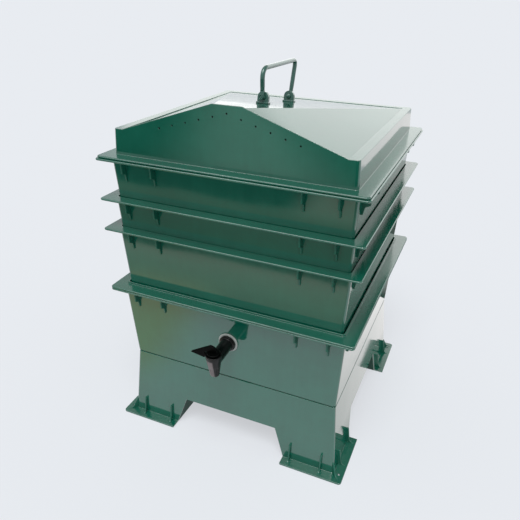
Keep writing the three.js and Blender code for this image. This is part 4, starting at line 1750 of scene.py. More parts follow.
@dataclass
class Lid:
    """The lid: flange, leaning walls, a ledge and a recessed roof behind a tall gable."""

    flange_half: float = 245.0
    base_half: float = 221.5
    eave_half: float = 219.5
    ledge_half: float = 202.0
    rim_half: float = 222.67
    mouth_half: float = 219.0
    flange: float = 4.0
    wall: float = 2.5
    eave_height: float = 45.0
    gable_rise: float = 59.0
    ridge_half: float = 26.5
    gable_wall: float = 3.0
    recess: float = 2.0
    rear_recess: float = 0.6
    skin: float = 2.5
    rim_depth: float = 10.0
    vent_count: int = 11
    vent_pitch: float = 25.2
    vent_radius: float = 1.7
    vent_below_ridge: float = 13.0
    vent_fall: float = 36.0
    vent_reach: Pair = (-4.0, 8.0)

    @property
    def bottom(self) -> float:
        """The level of the flange's underside."""
        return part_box("lid")[0].z / MM + self.rim_depth

    @property
    def eave(self) -> float:
        """The level of the ledge."""
        return self.bottom + self.flange + self.eave_height

    @property
    def ridge(self) -> float:
        """The level of the gable's top."""
        return self.eave + self.gable_rise

    @property
    def lean(self) -> float:
        """How fast the walls lean back as they rise."""
        return (self.base_half - self.eave_half) / self.eave_height

    def front(self, level: float, depth: float = 0.0) -> float:
        """The place of the front wall's face.

        Args:
            level: the height.
            depth: how far behind the outer face.

        Returns:
            The place along Y.
        """
        return depth - self.eave_half + self.lean * (level - self.eave)

    def shell(self) -> Draft:
        """The whole lid as one closed skin."""
        draft = Draft()
        eave = self.eave
        flange_top = self.bottom + self.flange
        edge = [
            draft.square(section)
            for section in lip(self.flange_half, self.bottom, flange_top, MOULD.flange_corner)
        ]
        base = draft.square(Section(self.base_half, flange_top))
        top = draft.square(Section(self.eave_half, eave))
        for low, high in zip(edge, [*edge[1:], base]):
            draft.band(low, high)
        steps = len(base) // 4
        last = 3 * steps - 1
        for i in range(len(base)):
            if i != last:
                j = (i + 1) % len(base)
                draft.faces.append([base[i], base[j], top[j], top[i]])
        front, gable, line, back, floor = self._roof_points(draft)
        wall_left, wall_right = base[last], base[last + 1]
        eave_left, eave_right = top[last], top[last + 1]
        draft.faces.append([wall_left, wall_right, eave_right, *reversed(front), eave_left])
        middle = steps // 2
        right = [top[(last + 1 + k) % len(top)] for k in range(steps + middle + 1)]
        left = [top[(last - k) % len(top)] for k in range(steps + middle + 1)]
        rear = [top[k] for k in range(middle, steps + middle + 1)]
        draft.faces.append([front[3], *right, back[0], gable[3]])
        draft.faces.append([front[0], *left, back[1], gable[0]])
        draft.faces.append([*rear, back[1], back[0]])
        for k in range(3):
            draft.faces.append([front[k], front[k + 1], gable[k + 1], gable[k]])
            draft.faces.append([gable[k], gable[k + 1], line[k + 1], line[k]])
        draft.faces.append([gable[3], back[0], floor[0], line[3]])
        draft.faces.append([gable[0], back[1], floor[1], line[0]])
        draft.faces.append([back[0], back[1], floor[1], floor[0]])
        draft.faces.append([line[2], line[3], floor[0]])
        draft.faces.append([line[1], line[0], floor[1]])
        draft.faces.append([line[1], line[2], floor[0], floor[1]])
        self._underside(draft, edge[0])
        return draft

    def _gable_line(self, draft: Draft, drop: float, depth: float) -> list[int]:
        """Adds the four corners of the gable's edge, lowered and set back."""
        low, high = self.eave - drop, self.ridge - drop
        corners = (
            (-self.ledge_half, low),
            (-self.ridge_half, high),
            (self.ridge_half, high),
            (self.ledge_half, low),
        )
        return draft.ring((x, self.front(z, depth), z) for x, z in corners)

    def _roof_points(self, draft: Draft) -> tuple[list[int], ...]:
        """Adds the gable's front and back edge, the roof's front line, and the rear corners."""
        far = self.ledge_half
        front = self._gable_line(draft, 0.0, 0.0)
        gable = self._gable_line(draft, 0.0, self.gable_wall)
        line = self._gable_line(draft, self.recess, self.gable_wall)
        back = draft.ring([(far, far, self.eave), (-far, far, self.eave)])
        low = self.eave - self.rear_recess
        floor = draft.ring([(far, far, low), (-far, far, low)])
        return front, gable, line, back, floor

    def _underside(self, draft: Draft, edge: list[int]) -> None:
        """Adds the locating rim, the inner walls and the ceiling."""
        low = self.bottom - self.rim_depth
        drop = self.recess + self.skin
        ceiling = self.eave - drop
        eave_inner = self.eave_half - self.wall
        snug = MOULD.inner_corner
        rings = [
            edge,
            draft.square(Section(self.rim_half, self.bottom)),
            draft.square(Section(self.rim_half, low)),
            draft.square(Section(self.mouth_half, low, snug)),
            draft.square(Section(self.mouth_half, self.bottom + self.flange, snug)),
            draft.square(Section(eave_inner, ceiling, snug)),
        ]
        for first, second in zip(rings, rings[1:]):
            draft.band(first, second)
        line = self._gable_line(draft, drop, self.gable_wall)
        far = self.ledge_half
        back = draft.ring([(far, far, ceiling), (-far, far, ceiling)])
        top = rings[-1]
        steps = len(top) // 4
        middle = steps // 2
        corners = [back[0], back[1], line[0], line[3]]
        for k in range(4):
            start = k * steps + middle
            strip = [top[(start + i) % len(top)] for i in range(steps + 1)]
            draft.faces.append([*strip, corners[(k + 1) % 4], corners[k]])
        draft.faces.append([line[2], line[3], back[0]])
        draft.faces.append([line[1], line[0], back[1]])
        draft.faces.append([line[1], line[2], back[0], back[1]])
        draft.faces.append([line[0], line[1], line[2], line[3]])

    def _vents(self, shop: Workshop) -> bpy.types.Object:
        """Makes the cutters of the vent row under the gable's edge."""
        level = self.ridge - self.vent_below_ridge
        start, end = (self.front(level) + reach for reach in self.vent_reach)
        cutter = Draft().rod(self.vent_radius, start, end, 14)
        cutter.moved(Matrix.Translation((0.0, 0.0, level)))
        obj = cutter.build("vent_cutters", FROM_MM)
        values = {
            "Count": self.vent_count,
            "Pitch": self.vent_pitch * MM,
            "Fall": self.vent_fall * MM,
            "Lean": self.lean,
        }
        shop.patterns.vent_row.put_on(obj, shop.palette.of(Slot.GREEN_PLASTIC), values)
        shop.settle(obj)
        obj.data.transform(shop.frames.middle)
        return obj

    def build(self, shop: Workshop) -> None:
        """Makes the lid."""
        obj = self.shell().build("lid_shell", shop.frames.stack)
        shop.round_edges(obj, Edge(0.8, 3, 19.5))
        shop.carve(obj, [self._vents(shop)])
        shop.place(obj, Body.LID, Slot.GREEN_PLASTIC, ("lid",))


@dataclass
class Handle:
    """The bent rod handle with its two ears, bolts, nuts and screws."""

    spacing: float = 132.0
    ear_width: float = 21.0
    ear_thickness: float = 8.0
    pin_height: float = 11.5
    foot_width: float = 24.0
    foot_depth: float = 14.0
    foot_thickness: float = 3.5
    rod: float = 8.5
    eye_radius: float = 5.2
    tongue_half: float = 3.8
    eye_thickness: float = 5.0
    tongue: float = 15.0
    front_rise: float = 47.8
    rear_rise: float = 69.4
    front_spread: float = 7.0
    rear_spread: float = 11.8
    front_bend: float = 20.0
    rear_bend: float = 14.0
    pin_radius: float = 2.4
    head_radius: float = 5.0
    head_height: float = 3.6
    nut_radius: float = 4.6
    nut_height: float = 4.2
    screw_spacing: float = 13.0
    screw_radius: float = 1.5
    screw_head: float = 3.6
    screw_bite: float = 9.0
    roof_skin: float = 2.5
    foot_corner: float = 2.5
    rod_sides: int = 20
    taper: float = 12.0
    taper_step: float = 1.6
    squareness: float = 0.45
    tongue_lap: float = 1.5
    bore_spare: float = 5.0
    eye_bore_spare: float = 6.0
    screw_head_height: float = 2.2
    thread_turns: int = 9
    thread_depth: float = 0.3

    @property
    def eye_inner(self) -> float:
        """From an ear's middle to the eye beside it."""
        return self.ear_thickness / 2 + MOULD.seat_gap

    @property
    def eye_place(self) -> float:
        """From the handle's middle to the middle of an eye."""
        return self.spacing / 2 + self.eye_inner + self.eye_thickness / 2

    def _path(self) -> list[Vector]:
        """The rod's middle line, from the front eye's tongue to the rear one's."""
        start = self.tongue - self.rod / 2
        corners = [
            (-self.eye_place, start, 0.0),
            (-self.eye_place - self.front_spread, self.front_rise, self.front_bend),
            (self.eye_place + self.rear_spread, self.rear_rise, self.rear_bend),
            (self.eye_place, start, 0.0),
        ]
        places = [Vector((y, z)) for y, z, _ in corners]
        points = [places[0]]
        for i in (1, 2):
            bend = corners[i][2]
            before = places[i] + (places[i - 1] - places[i]).normalized() * bend
            after = places[i] + (places[i + 1] - places[i]).normalized() * bend
            points.extend(Vector(p) for p in bent(before[:], places[i][:], after[:], 14))
        points.append(places[3])
        return [Vector((0.0, p.x, p.y + self.pin_height)) for p in points]

    def bail(self) -> Draft:
        """The rod, flattened towards its eyes."""
        draft = Draft()
        path = self._path()
        lengths = [0.0]
        for a, b in zip(path, path[1:]):
            lengths.append(lengths[-1] + (b - a).length)
        total = lengths[-1]
        extra = [k * self.taper_step for k in range(1, 9)]
        stops = sorted({*lengths, *extra, *(total - length for length in extra)})
        rings = []
        for stop in stops:
            i = max(k for k, length in enumerate(lengths) if length <= stop + 1e-9)
            i = min(i, len(path) - 2)
            share = (stop - lengths[i]) / (lengths[i + 1] - lengths[i])
            here = path[i].lerp(path[i + 1], share)
            ahead = self._direction(path, lengths, stop)
            side = Vector((0.0, -ahead.z, ahead.y))
            near = min(1.0, min(stop, total - stop) / self.taper)
            flatness = 1 - near**2 * (3 - 2 * near)
            across = self.rod / 2 - flatness * (self.rod / 2 - self.tongue_half)
            thick = self.rod / 2 - flatness * (self.rod - self.eye_thickness) / 2
            power = 1.0 - self.squareness * flatness
            points = []
            for k in range(self.rod_sides):
                cos, sin = round_turning(1.0, 0.0, FULL_TURN * k / self.rod_sides)
                u = math.copysign(abs(cos) ** power, cos) * across
                v = math.copysign(abs(sin) ** power, sin) * thick
                points.append(here + Vector((u, 0.0, 0.0)) + side * v)
            rings.append(draft.ring(points))
        draft.loft(rings, closed=False)
        return draft

    @staticmethod
    def _direction(path: list[Vector], lengths: list[float], stop: float) -> Vector:
        """The way the rod runs at a length along it."""
        behind = max((k for k, s in enumerate(lengths) if s < stop - 1e-6), default=0)
        ahead = min((k for k, s in enumerate(lengths) if s > stop + 1e-6), default=len(path) - 1)
        if ahead == behind:
            ahead = behind + 1
        return (path[ahead] - path[behind]).normalized()

    def eyes(self) -> Draft:
        """The flat tongues with round eyes at the rod's ends; build bores them for the bolts."""
        draft = Draft()
        half = self.tongue_half
        top = self.pin_height + self.tongue - self.rod / 2 + self.tongue_lap
        outline = [
            (half, top),
            (-half, top),
            *arc((0.0, self.pin_height), self.eye_radius, 137.0, 403.0, 26),
        ]
        for end in (-1, 1):
            middle = end * self.eye_place
            half_thick = self.eye_thickness / 2
            draft.prism(outline, middle - half_thick, middle + half_thick, Axis.ALONG_Y)
        return draft

    def _bore(self, start: float, end: float) -> Draft:
        """The cutter of a bolt's bore between two places along the handle."""
        radius = self.pin_radius + MOULD.seat_gap
        up = Matrix.Translation((0.0, 0.0, self.pin_height))
        return Draft().rod(radius, start, end, 24).moved(up)

    def ear(self, end: int) -> tuple[Draft, Draft]:
        """One ear, and the cutter of the bolt's bore through it."""
        half = self.ear_width / 2
        middle = end * self.spacing / 2
        thick = self.ear_thickness / 2
        low = MOULD.seat_gap + 1.0
        outline = [(-half, low), (half, low)]
        outline += arc((0.0, self.pin_height), half, 0.0, 180.0, 24)
        ear = Draft().prism(outline, middle - thick, middle + thick, Axis.ALONG_Y)
        reach = thick + self.bore_spare
        return ear, self._bore(middle - reach, middle + reach)

    def foot(self, end: int) -> Draft:
        """The foot of one ear."""
        x = self.foot_width / 2 - self.foot_corner
        y = self.foot_depth / 2 - self.foot_corner
        outline: Outline = []
        for k, (sx, sy) in enumerate(CORNERS):
            centre = (sx * x, sy * y + end * self.spacing / 2)
            outline += arc(centre, self.foot_corner, 90.0 * k, 90.0 * (k + 1), 5)
        top = MOULD.seat_gap + self.foot_thickness
        return Draft().prism(outline, MOULD.seat_gap, top, Axis.ALONG_Z)

    def bolt(self, end: int) -> Draft:
        """A bolt with a domed head on the ear's inner side."""
        face = self.eye_inner
        inside = -end
        profile: Outline = []
        for i in range(9):
            angle = QUARTER * i / 8
            radius = max(self.head_radius * math.sin(angle), TIP)
            profile.append((radius, inside * (face + self.head_height * math.cos(angle))))
        reach = self.eye_inner + self.eye_thickness + MOULD.seat_gap + self.nut_height
        profile += [
            (self.pin_radius, inside * face),
            (self.pin_radius, -inside * (reach - 0.4)),
            (self.pin_radius - 0.4, -inside * reach),
        ]
        middle = Matrix.Translation((0.0, end * self.spacing / 2, self.pin_height))
        return Draft().turned(profile, sides=32, closed=False).moved(middle)

    def nut(self, end: int) -> Draft:
        """A chamfered hexagon nut outside the eye."""
        low = self.spacing / 2 + self.eye_inner + self.eye_thickness + MOULD.seat_gap
        high = low + self.nut_height
        inner, outer = self.pin_radius + MOULD.seat_gap, self.nut_radius

        def hexagon(radius: float, place: float, angle: float) -> Pair:
            """A point that is no further out than the hexagon's side."""
            turn = (angle % (math.pi / 3)) - math.pi / 6
            side = outer * (math.cos(math.pi / 6) / math.cos(turn))
            return round_turning(min(radius, side), place, angle)

        profile = [
            (inner, low),
            (outer - 0.5, low),
            (outer, low + 0.45),
            (outer, high - 0.45),
            (outer - 0.5, high),
            (inner, high),
        ]
        placed = [(radius, end * place) for radius, place in profile]
        up = Matrix.Translation((0.0, 0.0, self.pin_height))
        return Draft().turned(placed, sides=36, turning=hexagon).moved(up)

    def screw(self) -> Draft:
        """One screw with a pan head, in the front ear's left hole."""
        skin = self.roof_skin * 0.99 + MOULD.seat_gap
        head = -skin - self.screw_head_height
        profile = [
            (TIP, head),
            (self.screw_head * 0.5, head + 0.05),
            (self.screw_head * 0.85, head + 0.6),
            (self.screw_head, head + 1.5),
            (self.screw_head, -skin),
            (self.screw_radius, -skin),
        ]
        root = self.screw_radius - self.thread_depth
        for k in range(self.thread_turns):
            place = -skin + 1.0 + k * (self.screw_bite + skin - 2.0) / self.thread_turns
            profile += [(root, place), (self.screw_radius, place + 0.5)]
        profile += [(TIP, self.screw_bite)]
        shift = Matrix.Translation((-self.screw_spacing / 2, -self.spacing / 2, 0.0))
        return Draft().turned(profile, Axis.ALONG_Z, 20, closed=False).moved(shift)

    def _screws(self, shop: Workshop) -> None:
        """Makes the four screws from inside the lid."""
        row = shop.patterns.row
        steps = ((self.screw_spacing * MM, 0.0, 0.0), (0.0, self.spacing * MM, 0.0))
        names = [
            f"bracket_screw_{end}_{side}" for end in ("front", "rear") for side in ("left", "right")
        ]
        shop.make_repeated(
            "bracket_screws", self.screw(), None,
            [(row, {"Count": 2, "Step": step}) for step in steps],
            Body.LID, Slot.ZINC_STEEL, names, shop.frames.handle @ Matrix.Scale(1 / MM, 4),
        )

    def build(self, shop: Workshop) -> None:
        """Makes the handle's pieces."""
        place = shop.frames.handle
        steel = Slot.GREEN_STEEL
        shop.make("handle_rod", self.bail(), place, None, Body.HANDLE, steel, ("handle_bail",))
        reach = self.eye_place + self.eye_bore_spare
        shop.make(
            "handle_eyes", self.eyes(), place, Edge(0.9, 3, 40.0), Body.HANDLE, steel,
            cutter=self._bore(-reach, reach),
        )
        for end, where in ((-1, "front"), (1, "rear")):
            ear, hole = self.ear(end)
            shop.make(
                f"handle_ear_{where}", ear, place, Edge(1.0, 3, 35.0), Body.LID, steel,
                (f"handle_bracket_{where}",), hole,
            )
            shop.make(
                f"handle_ear_foot_{where}", self.foot(end), place, Edge(1.0, 3, 40.0),
                Body.LID, steel,
            )
            shop.make(
                f"handle_bolt_dome_{where}", self.bolt(end), place, None, Body.LID, steel,
                (f"handle_bolt_{where}",),
            )
            shop.make(
                f"handle_nut_hex_{where}", self.nut(end), place, None, Body.LID,
                Slot.ZINC_STEEL, (f"handle_nut_{where}",), finish=steel,
            )
        self._screws(shop)


@dataclass
class Tap:
    """The lever tap with its washers and lock nut."""

    reach: float = 60.0
    ring_radius: float = 20.0
    ring_thickness: float = 3.0
    collar_radius: float = 16.5
    collar_thickness: float = 4.0
    barrel_radius: float = 12.5
    bore_radius: float = 8.0
    sump_wall: float = 2.5
    seal_radius: float = 18.0
    seal_thickness: float = 2.5
    nut_radius: float = 20.0
    nut_thickness: float = 8.0
    nut_lobes: int = 8
    shank_spare: float = 3.0
    valve_radius: float = 15.0
    valve_top: float = 15.0
    spout_radius: float = 8.0
    spout_drop: float = 33.5
    flutes: int = 16
    flute_depth: float = 0.1
    valve_widening: float = 1.09
    plug_top: float = 10.4
    plug_bottom: float = 6.2
    plug_bore: float = 4.6
    plug_end: float = 22.0
    cap_radius: float = 12.0
    cap_thickness: float = 4.0
    lever_length: float = 47.0
    lever_top: float = 34.0
    lever_tip: float = 8.0
    lever_heel: float = 3.0
    lever_thickness: float = 4.5
    lever_shoulder: float = 6.0
    lever_back: float = 9.0
    lever_play: float = 1.9
    thread_pitch: float = 1.8
    thread_depth: float = 0.9
    flute_top: float = -9.0
    flute_run: float = 5.0
    plug_ceiling: float = 4.0
    lobe_depth: float = 0.075
    lobe_width: float = 1.8

    @property
    def plug_axis(self) -> Matrix:
        """The place of the plug's upright axis."""
        return Matrix.Translation((0.0, -self.reach, 0.0))

    def plug_radius(self, z: float) -> float:
        """The plug's radius at a height over the barrel's axis."""
        taper = (self.plug_top - self.plug_bottom) / (self.valve_top + self.plug_end)
        return self.plug_bottom + taper * (z + self.plug_end)

    def barrel(self) -> Draft:
        """The barrel with its collar and threaded shank, bored through."""
        gap = MOULD.seat_gap
        face = -gap - self.ring_thickness - gap
        place = self.sump_wall + gap + self.seal_thickness + gap
        end = place + self.nut_thickness + self.shank_spare
        r, collar = self.barrel_radius, self.collar_radius
        back = face - self.collar_thickness
        profile = [
            (r, -self.reach),
            (r, back - 2.0),
            (r + 0.5, back - 0.7),
            (r + 1.6, back),
            (collar - 0.6, back),
            (collar, back + 0.6),
            (collar, face),
            (r, face),
            (r, self.sump_wall),
        ]
        root = r - self.thread_depth
        while place + self.thread_pitch < end:
            profile += [(r, place), (root, place + self.thread_pitch / 2)]
            place += self.thread_pitch
        profile += [(root, end - 0.3), (r - 1.4, end), (self.bore_radius, end)]
        profile += [(self.bore_radius, -self.reach)]
        return Draft().turned(profile, sides=56)

    def valve(self) -> Draft:
        """The tapering valve housing and fluted spout, open for the plug."""
        top, bottom = self.valve_top, -self.spout_drop

        def outer(z: float) -> float:
            """The housing's outer radius."""
            share = (top - z) / (top - bottom)
            return self.valve_radius + (self.spout_radius - self.valve_radius) * share

        def bore(z: float) -> float:
            """The radius of the bore for the plug."""
            return self.plug_radius(z) + MOULD.seat_gap

        def fluted(radius: float, z: float, angle: float) -> Pair:
            """A point: outside the bore it is wider across, with flutes below the barrel."""
            if radius <= bore(z):
                return round_turning(radius, z, angle)
            depth = min(max((self.flute_top - z) / self.flute_run, 0.0), 1.0)
            wave = 0.5 + 0.5 * math.cos(self.flutes * angle)
            radius *= 1.0 - self.flute_depth * depth * (1.0 - wave**0.6)
            u, v = round_turning(radius, z, angle)
            return u * self.valve_widening, v

        levels = [top - 0.7, 8.0, 0.0, -6.0, self.flute_top, -11.0, -14.0, -22.0, bottom + 1.0]
        profile = [
            (outer(top) - 0.7, top),
            *((outer(z), z) for z in levels),
            (outer(bottom) - 0.6, bottom),
            (bore(bottom), bottom),
            (bore(top), top),
        ]
        draft = Draft().turned(profile, Axis.ALONG_Z, 112, turning=fluted)
        return draft.moved(self.plug_axis)

    def plug(self) -> Draft:
        """The tapered plug under its cap."""
        gap = MOULD.seat_gap
        top = self.valve_top
        cap_low, cap_high = top + gap, top + gap + self.cap_thickness
        profile = [
            (self.plug_bore, -self.plug_end),
            (self.plug_bottom, -self.plug_end),
            (self.plug_radius(top), top),
            (self.plug_radius(top), cap_low),
            (self.cap_radius, cap_low),
            (self.cap_radius, cap_high - 1.2),
            (self.cap_radius - 0.4, cap_high - 0.4),
            (self.cap_radius - 1.4, cap_high),
            (TIP, cap_high),
            (TIP, self.plug_ceiling),
            (self.plug_bore, self.plug_ceiling),
        ]
        return Draft().turned(profile, Axis.ALONG_Z, 48).moved(self.plug_axis)

    def wing(self) -> Draft:
        """The wing lever."""
        cap = self.valve_top + MOULD.seat_gap + self.cap_thickness
        low = cap - self.cap_thickness / 2
        clear = self.valve_radius + self.lever_play
        back, shoulder = (self.lever_back, cap), (-self.lever_shoulder, self.lever_top)
        outline: Outline = [
            (self.lever_back, low),
            *bent(back, (self.lever_back, self.lever_top), shoulder, 10),
            (-self.lever_length + 1.5, self.lever_tip + 1.6),
            (-self.lever_length, self.lever_tip + 0.2),
            (-self.lever_length + 1.4, self.lever_tip - 0.4),
            (-clear - self.lever_play, self.lever_heel),
            (-clear, self.lever_tip),
            (-clear, low),
        ]
        half = self.lever_thickness / 2
        return Draft().prism(outline, -self.reach - half, -self.reach + half, Axis.ALONG_Y)

    def washer(self, radius: float, start: float, end: float, soft: float) -> Draft:
        """A flat washer on the shank with softened edges."""
        inner = self.barrel_radius + MOULD.seat_gap
        profile = [
            (inner, start),
            (radius - soft, start),
            (radius - soft * 0.3, start + soft * 0.3),
            (radius, start + soft),
            (radius, end - soft),
            (radius - soft * 0.3, end - soft * 0.3),
            (radius - soft, end),
            (inner, end),
        ]
        return Draft().turned(profile, sides=64)

    def nut(self) -> Draft:
        """The lock nut with finger lobes."""
        start = self.sump_wall + 2 * MOULD.seat_gap + self.seal_thickness
        end = start + self.nut_thickness
        inner = self.barrel_radius + MOULD.seat_gap

        def lobed(radius: float, place: float, angle: float) -> Pair:
            """A point: outside the bore it follows the lobes."""
            if radius > inner:
                wave = 0.5 + 0.5 * math.cos(self.nut_lobes * angle - math.pi / 2)
                radius *= 1.0 - self.lobe_depth * (1.0 - min(1.0, wave * self.lobe_width))
            return round_turning(radius, place, angle)

        profile = [
            (inner, start),
            (self.nut_radius - 1.0, start),
            (self.nut_radius, start + 1.0),
            (self.nut_radius, end - 1.0),
            (self.nut_radius - 1.0, end),
            (inner, end),
        ]
        return Draft().turned(profile, sides=96, turning=lobed)

    def build(self, shop: Workshop) -> None:
        """Makes the tap's pieces."""
        place = shop.frames.tap
        black, gap = Slot.BLACK_PLASTIC, MOULD.seat_gap
        satin, painted_sheen = Special.SATIN_BLACK, Special.PAINTED_SHEEN_BLACK
        edge = Edge(0.35, 2, 45.0)
        shop.make("tap_barrel", self.barrel(), place, None, Body.SUMP, black, ("tap_body",))
        # the valve's spout gets a painted sheen: a lighter colour low on its left side in place of
        # reflected light
        shop.make("tap_valve", self.valve(), place, None, Body.SUMP, black, finish=painted_sheen)
        shop.make(
            "tap_plug_core", self.plug(), place, None, Body.TAP_LEVER, black, ("tap_plug",),
            finish=satin,
        )
        shop.make(
            "tap_wing", self.wing(), place, Edge(1.1, 4, 14.0), Body.TAP_LEVER, black, finish=satin
        )
        ring = self.washer(self.ring_radius, -gap - self.ring_thickness, -gap, 0.8)
        shop.make("tap_washer", ring, place, None, Body.SUMP, Slot.GREY_PLASTIC, ("tap_ring",))
        face = self.sump_wall + gap
        seal = self.washer(self.seal_radius, face, face + self.seal_thickness, 0.5)
        shop.make("tap_rubber", seal, place, None, Body.SUMP, Slot.SEAL_RUBBER, ("tap_seal",))
        shop.make("tap_lock_nut", self.nut(), place, edge, Body.SUMP, black, ("tap_nut",))


# ---- the studio


def sheet(name: str, size: Pair, material: bpy.types.Material) -> bpy.types.Object:
    """Makes a flat sheet round the origin.

    Args:
        name: its name.
        size: its width and height in metres.
        material: its material.

    Returns:
        The object.
    """
    mesh = bpy.data.meshes.new(name)
    w, h = size[0] / 2, size[1] / 2
    mesh.from_pydata([(x * w, y * h, 0) for x, y in CORNERS], [], [(0, 1, 2, 3)])
    mesh.materials.append(material)
    obj = bpy.data.objects.new(name, mesh)
    bpy.context.scene.collection.objects.link(obj)
    return obj


@dataclass(frozen=True)
class Camera:
    """The camera at the photograph's viewing angle, in millimetres round the stack's axis."""

    place: Triple = (390.25, -979.5, 856.1)
    azimuth: float = 22.5776
    elevation: float = 27.4378
    roll: float = 1.187
    focal: float = 536.7
    image: float = 520.0
    principal: Pair = (266.57, 264.43)
    sensor: float = 36.0
    far_clip: float = 200.0

    def build(self, frames: Frames) -> None:
        """Makes the camera."""
        azimuth, elevation = math.radians(self.azimuth), math.radians(self.elevation)
        roll = math.radians(self.roll)
        back = Vector(
            (
                math.sin(azimuth) * math.cos(elevation),
                -math.cos(azimuth) * math.cos(elevation),
                math.sin(elevation),
            )
        )
        level = Vector((math.cos(azimuth), math.sin(azimuth), 0.0))
        up = back.cross(level)
        right = level * math.cos(roll) + up * math.sin(roll)
        above = up * math.cos(roll) - level * math.sin(roll)
        data = bpy.data.cameras.new("camera")
        data.sensor_width = self.sensor
        data.lens = self.sensor * self.focal / self.image
        data.shift_x = (self.image / 2 - self.principal[0]) / self.image
        data.shift_y = (self.principal[1] - self.image / 2) / self.image
        data.clip_end = self.far_clip
        camera = bpy.data.objects.new("camera", data)
        turned = Matrix((right, above, back)).transposed().to_4x4()
        camera.matrix_world = Matrix.Translation(frames.stack @ Vector(self.place)) @ turned
        bpy.context.scene.collection.objects.link(camera)
        bpy.context.scene.camera = camera


@dataclass(frozen=True)
class Card:
    """A flat card that only shows in reflections, in metres.

    Its glow runs evenly from one edge to the other: from low Y to high Y of its own plane.
    A soft card fades out towards its edges over that share of its half width and height.
    The turn is in degrees, round the way that the card faces.
    """

    name: str
    centre: Triple
    facing: Triple
    size: Pair
    glow: Pair
    tint: Colour = (1.0, 1.0, 1.0)
    soft: Pair = (0.0, 0.0)
    turn: float = 0.0

    def build(self) -> None:
        """Makes the card."""
        graph = SurfaceGraph(self.name + "_light")
        across = graph.node("ShaderNodeSeparateXYZ", None, {0: graph.place()})
        share = (graph.signal(across, "Y") / self.size[1] + 0.5).clipped()
        low, high = (tuple(value * part for part in self.tint) for value in self.glow)
        colour = graph.blended(share, low, high)
        light = graph.node("ShaderNodeEmission", None, {"Color": colour, "Strength": 1.0})
        if any(self.soft):
            sides = zip("XY", self.size, self.soft)
            near_x, near_y = (
                abs(graph.signal(across, axis) / (size / 2)).eased(1.0, 0.999 - soft)
                for axis, size, soft in sides
            )
            clear = graph.node("ShaderNodeBsdfTransparent")
            values = {"Fac": near_x * near_y, 1: clear.outputs[0], 2: light.outputs[0]}
            light = graph.node("ShaderNodeMixShader", None, values)
        card = sheet(self.name, self.size, graph.finish(light))
        facing = Vector(self.facing).to_track_quat("Z", "Y").to_matrix().to_4x4()
        turn = Matrix.Rotation(math.radians(self.turn), 4, "Z")
        card.matrix_world = Matrix.Translation(self.centre) @ facing @ turn
        for ray in ("camera", "diffuse", "shadow", "transmission"):
            setattr(card, "visible_" + ray, False)


WARM: Colour = (1.0, 0.93, 0.78)
OLIVE: Colour = (0.95, 0.85, 0.5)
PINK: Colour = (1.0, 0.965, 0.975)
UP: Triple = (0.0, 0.0, 1.0)
FORWARD: Triple = (0.0, -1.0, 0.0)


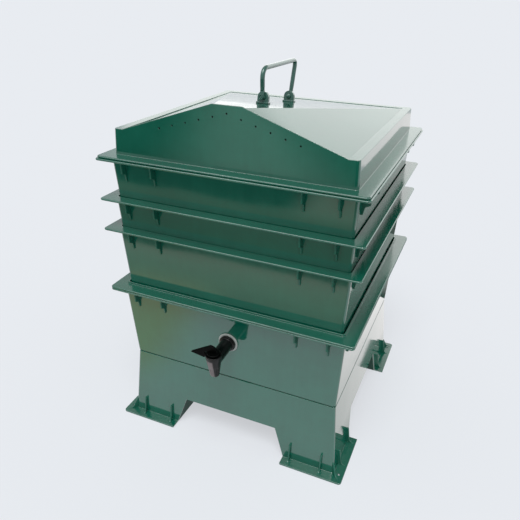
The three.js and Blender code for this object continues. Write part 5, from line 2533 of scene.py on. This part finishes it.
@dataclass(frozen=True)
class Studio:
    """A pale floor that runs into a pale background, and plain soft light."""

    backdrop: Colour = (0.815, 0.846, 0.888)
    floor_colour: Colour = (0.8, 0.86, 0.905)
    floor_glow: Colour = (0.826, 0.838, 0.879)
    floor_fill: float = 0.66
    floor_size: Pair = (120.0, 120.0)
    sky_strength: float = 0.45
    sun_strength: float = 1.8
    sun_angle: float = 30.0
    sun_from: Triple = (0.1, -0.45, 1.0)
    cards: tuple[Card, ...] = (
        Card("rear_card", (-0.6, 4.2, 1.45), FORWARD, (6.0, 2.1), (1.75, 2.0)),
        Card("rear_card_fade", (-0.6, 4.2, 2.75), FORWARD, (6.0, 0.5), (2.0, 0.6)),
        Card("rear_flag", (-0.6, 4.2, 6.5), FORWARD, (16.0, 7.0), (0.6, 0.4)),
        Card("top_card", (-0.7, -1.5, 2.7), (0.35, 0.62, -0.9), (2.2, 1.3), (3.5, 3.5)),
        Card("side_near", (0.7, 0.19, 0.001), UP, (1.0, 0.64), (1.5, 0.9), PINK),
        Card("side_fade", (0.7, 0.62, 0.001), UP, (1.0, 0.22), (0.9, 0.0), PINK),
        Card("side_flag", (0.7, 1.13, 0.001), UP, (1.0, 0.8), (0.1, 0.1)),
        Card("side_far", (0.77, 2.8, 0.001), UP, (0.7, 1.7), (1.45, 1.45), PINK, (0.3, 0.1)),
        Card("left_dim", (-1.25, 0.85, 0.001), UP, (1.8, 2.0), (0.36, 0.36), PINK),
        Card("front_fade", (-0.6, -0.66, 0.001), UP, (3.4, 0.24), (0.28, 0.64), WARM),
        Card("front_dusk", (-0.6, -0.98, 0.001), UP, (3.4, 0.4), (0.12, 0.28), WARM),
        Card("front_flag", (-0.6, -4.68, 0.001), UP, (12.0, 7.0), (0.04, 0.04)),
        Card(
            "front_patch", (-1.77, -4.1, 0.002), UP, (1.7, 5.9), (0.52, 0.52), (0.8, 1.0, 0.93),
            (0.9, 0.2), -27.8,
        ),
        Card("right_patch", (-0.02, -1.28, 0.002), UP, (0.6, 0.4), (0.5, 0.5), WARM, (0.6, 0.6)),
        Card("olive_patch", (-0.45, -0.45, 0.002), UP, (0.5, 0.5), (0.83, 0.83), OLIVE, (0.7, 0.7)),
    )

    def build(self) -> None:
        """Makes the world, the floor and the lights."""
        self._world()
        self._floor()
        data = bpy.data.lights.new("window_light", "SUN")
        data.energy = self.sun_strength
        data.angle = math.radians(self.sun_angle)
        lamp = bpy.data.objects.new("window_light", data)
        lamp.rotation_euler = Vector(self.sun_from).to_track_quat("Z", "Y").to_euler()
        bpy.context.scene.collection.objects.link(lamp)
        for card in self.cards:
            card.build()

    def _world(self) -> None:
        """Makes the sky: plain white light that shows as the pale backdrop."""
        world = bpy.data.worlds.new("studio")
        bpy.context.scene.world = world
        world.use_nodes = True
        world.node_tree.nodes.clear()
        graph = Graph(world.node_tree)
        path = graph.node("ShaderNodeLightPath")
        shown = graph.signal(path, "Is Camera Ray").larger(graph.signal(path, "Is Glossy Ray"))
        shown = shown.larger(graph.signal(path, "Is Transmission Ray"))
        grey = (self.sky_strength,) * 3
        colour = graph.blended(shown, grey, self.backdrop)
        light = graph.node("ShaderNodeBackground", None, {"Color": colour, "Strength": 1.0})
        graph.node("ShaderNodeOutputWorld", None, {"Surface": light.outputs[0]})

    def _floor(self) -> None:
        """Makes the floor, lit mostly by the lamps and a little by itself to ease the shadow."""
        graph = SurfaceGraph("studio_floor")
        matt = graph.node("ShaderNodeBsdfDiffuse", None, {"Color": self.floor_colour})
        glow = graph.node("ShaderNodeEmission", None, {"Color": self.floor_glow, "Strength": 1.0})
        values = {"Fac": self.floor_fill, 1: matt.outputs[0], 2: glow.outputs[0]}
        material = graph.finish(graph.node("ShaderNodeMixShader", None, values))
        floor = sheet("floor", self.floor_size, material)


def main() -> None:
    """Builds the sub-assemblies in order and the studio round them."""
    logging.basicConfig(level=logging.INFO, format="%(message)s")
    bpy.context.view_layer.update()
    scene = bpy.context.scene
    scene.view_settings.view_transform = "Standard"
    handle, tap = Handle(), Tap()
    frames = Frames.read(handle.pin_height, tap.reach)
    shop = Workshop(Palette.mixed(), PatternBook(), frames)
    Camera().build(frames)
    Studio().build()
    Stand().build(shop)
    Sump().build(shop)
    tap.build(shop)
    Insert().build(shop)
    Tray("tray_lower", Body.TRAY_LOWER, MOULD.nest_step).build(shop)
    Tray("tray_middle", Body.TRAY_MIDDLE, MOULD.open_step).build(shop)
    Tray("tray_upper", Body.TRAY_UPPER, MOULD.open_step).build(shop)
    Lid().build(shop)
    handle.build(shop)
    LOG.info("%d pieces", len(shop.finished))


if __name__ == "__main__":
    main()
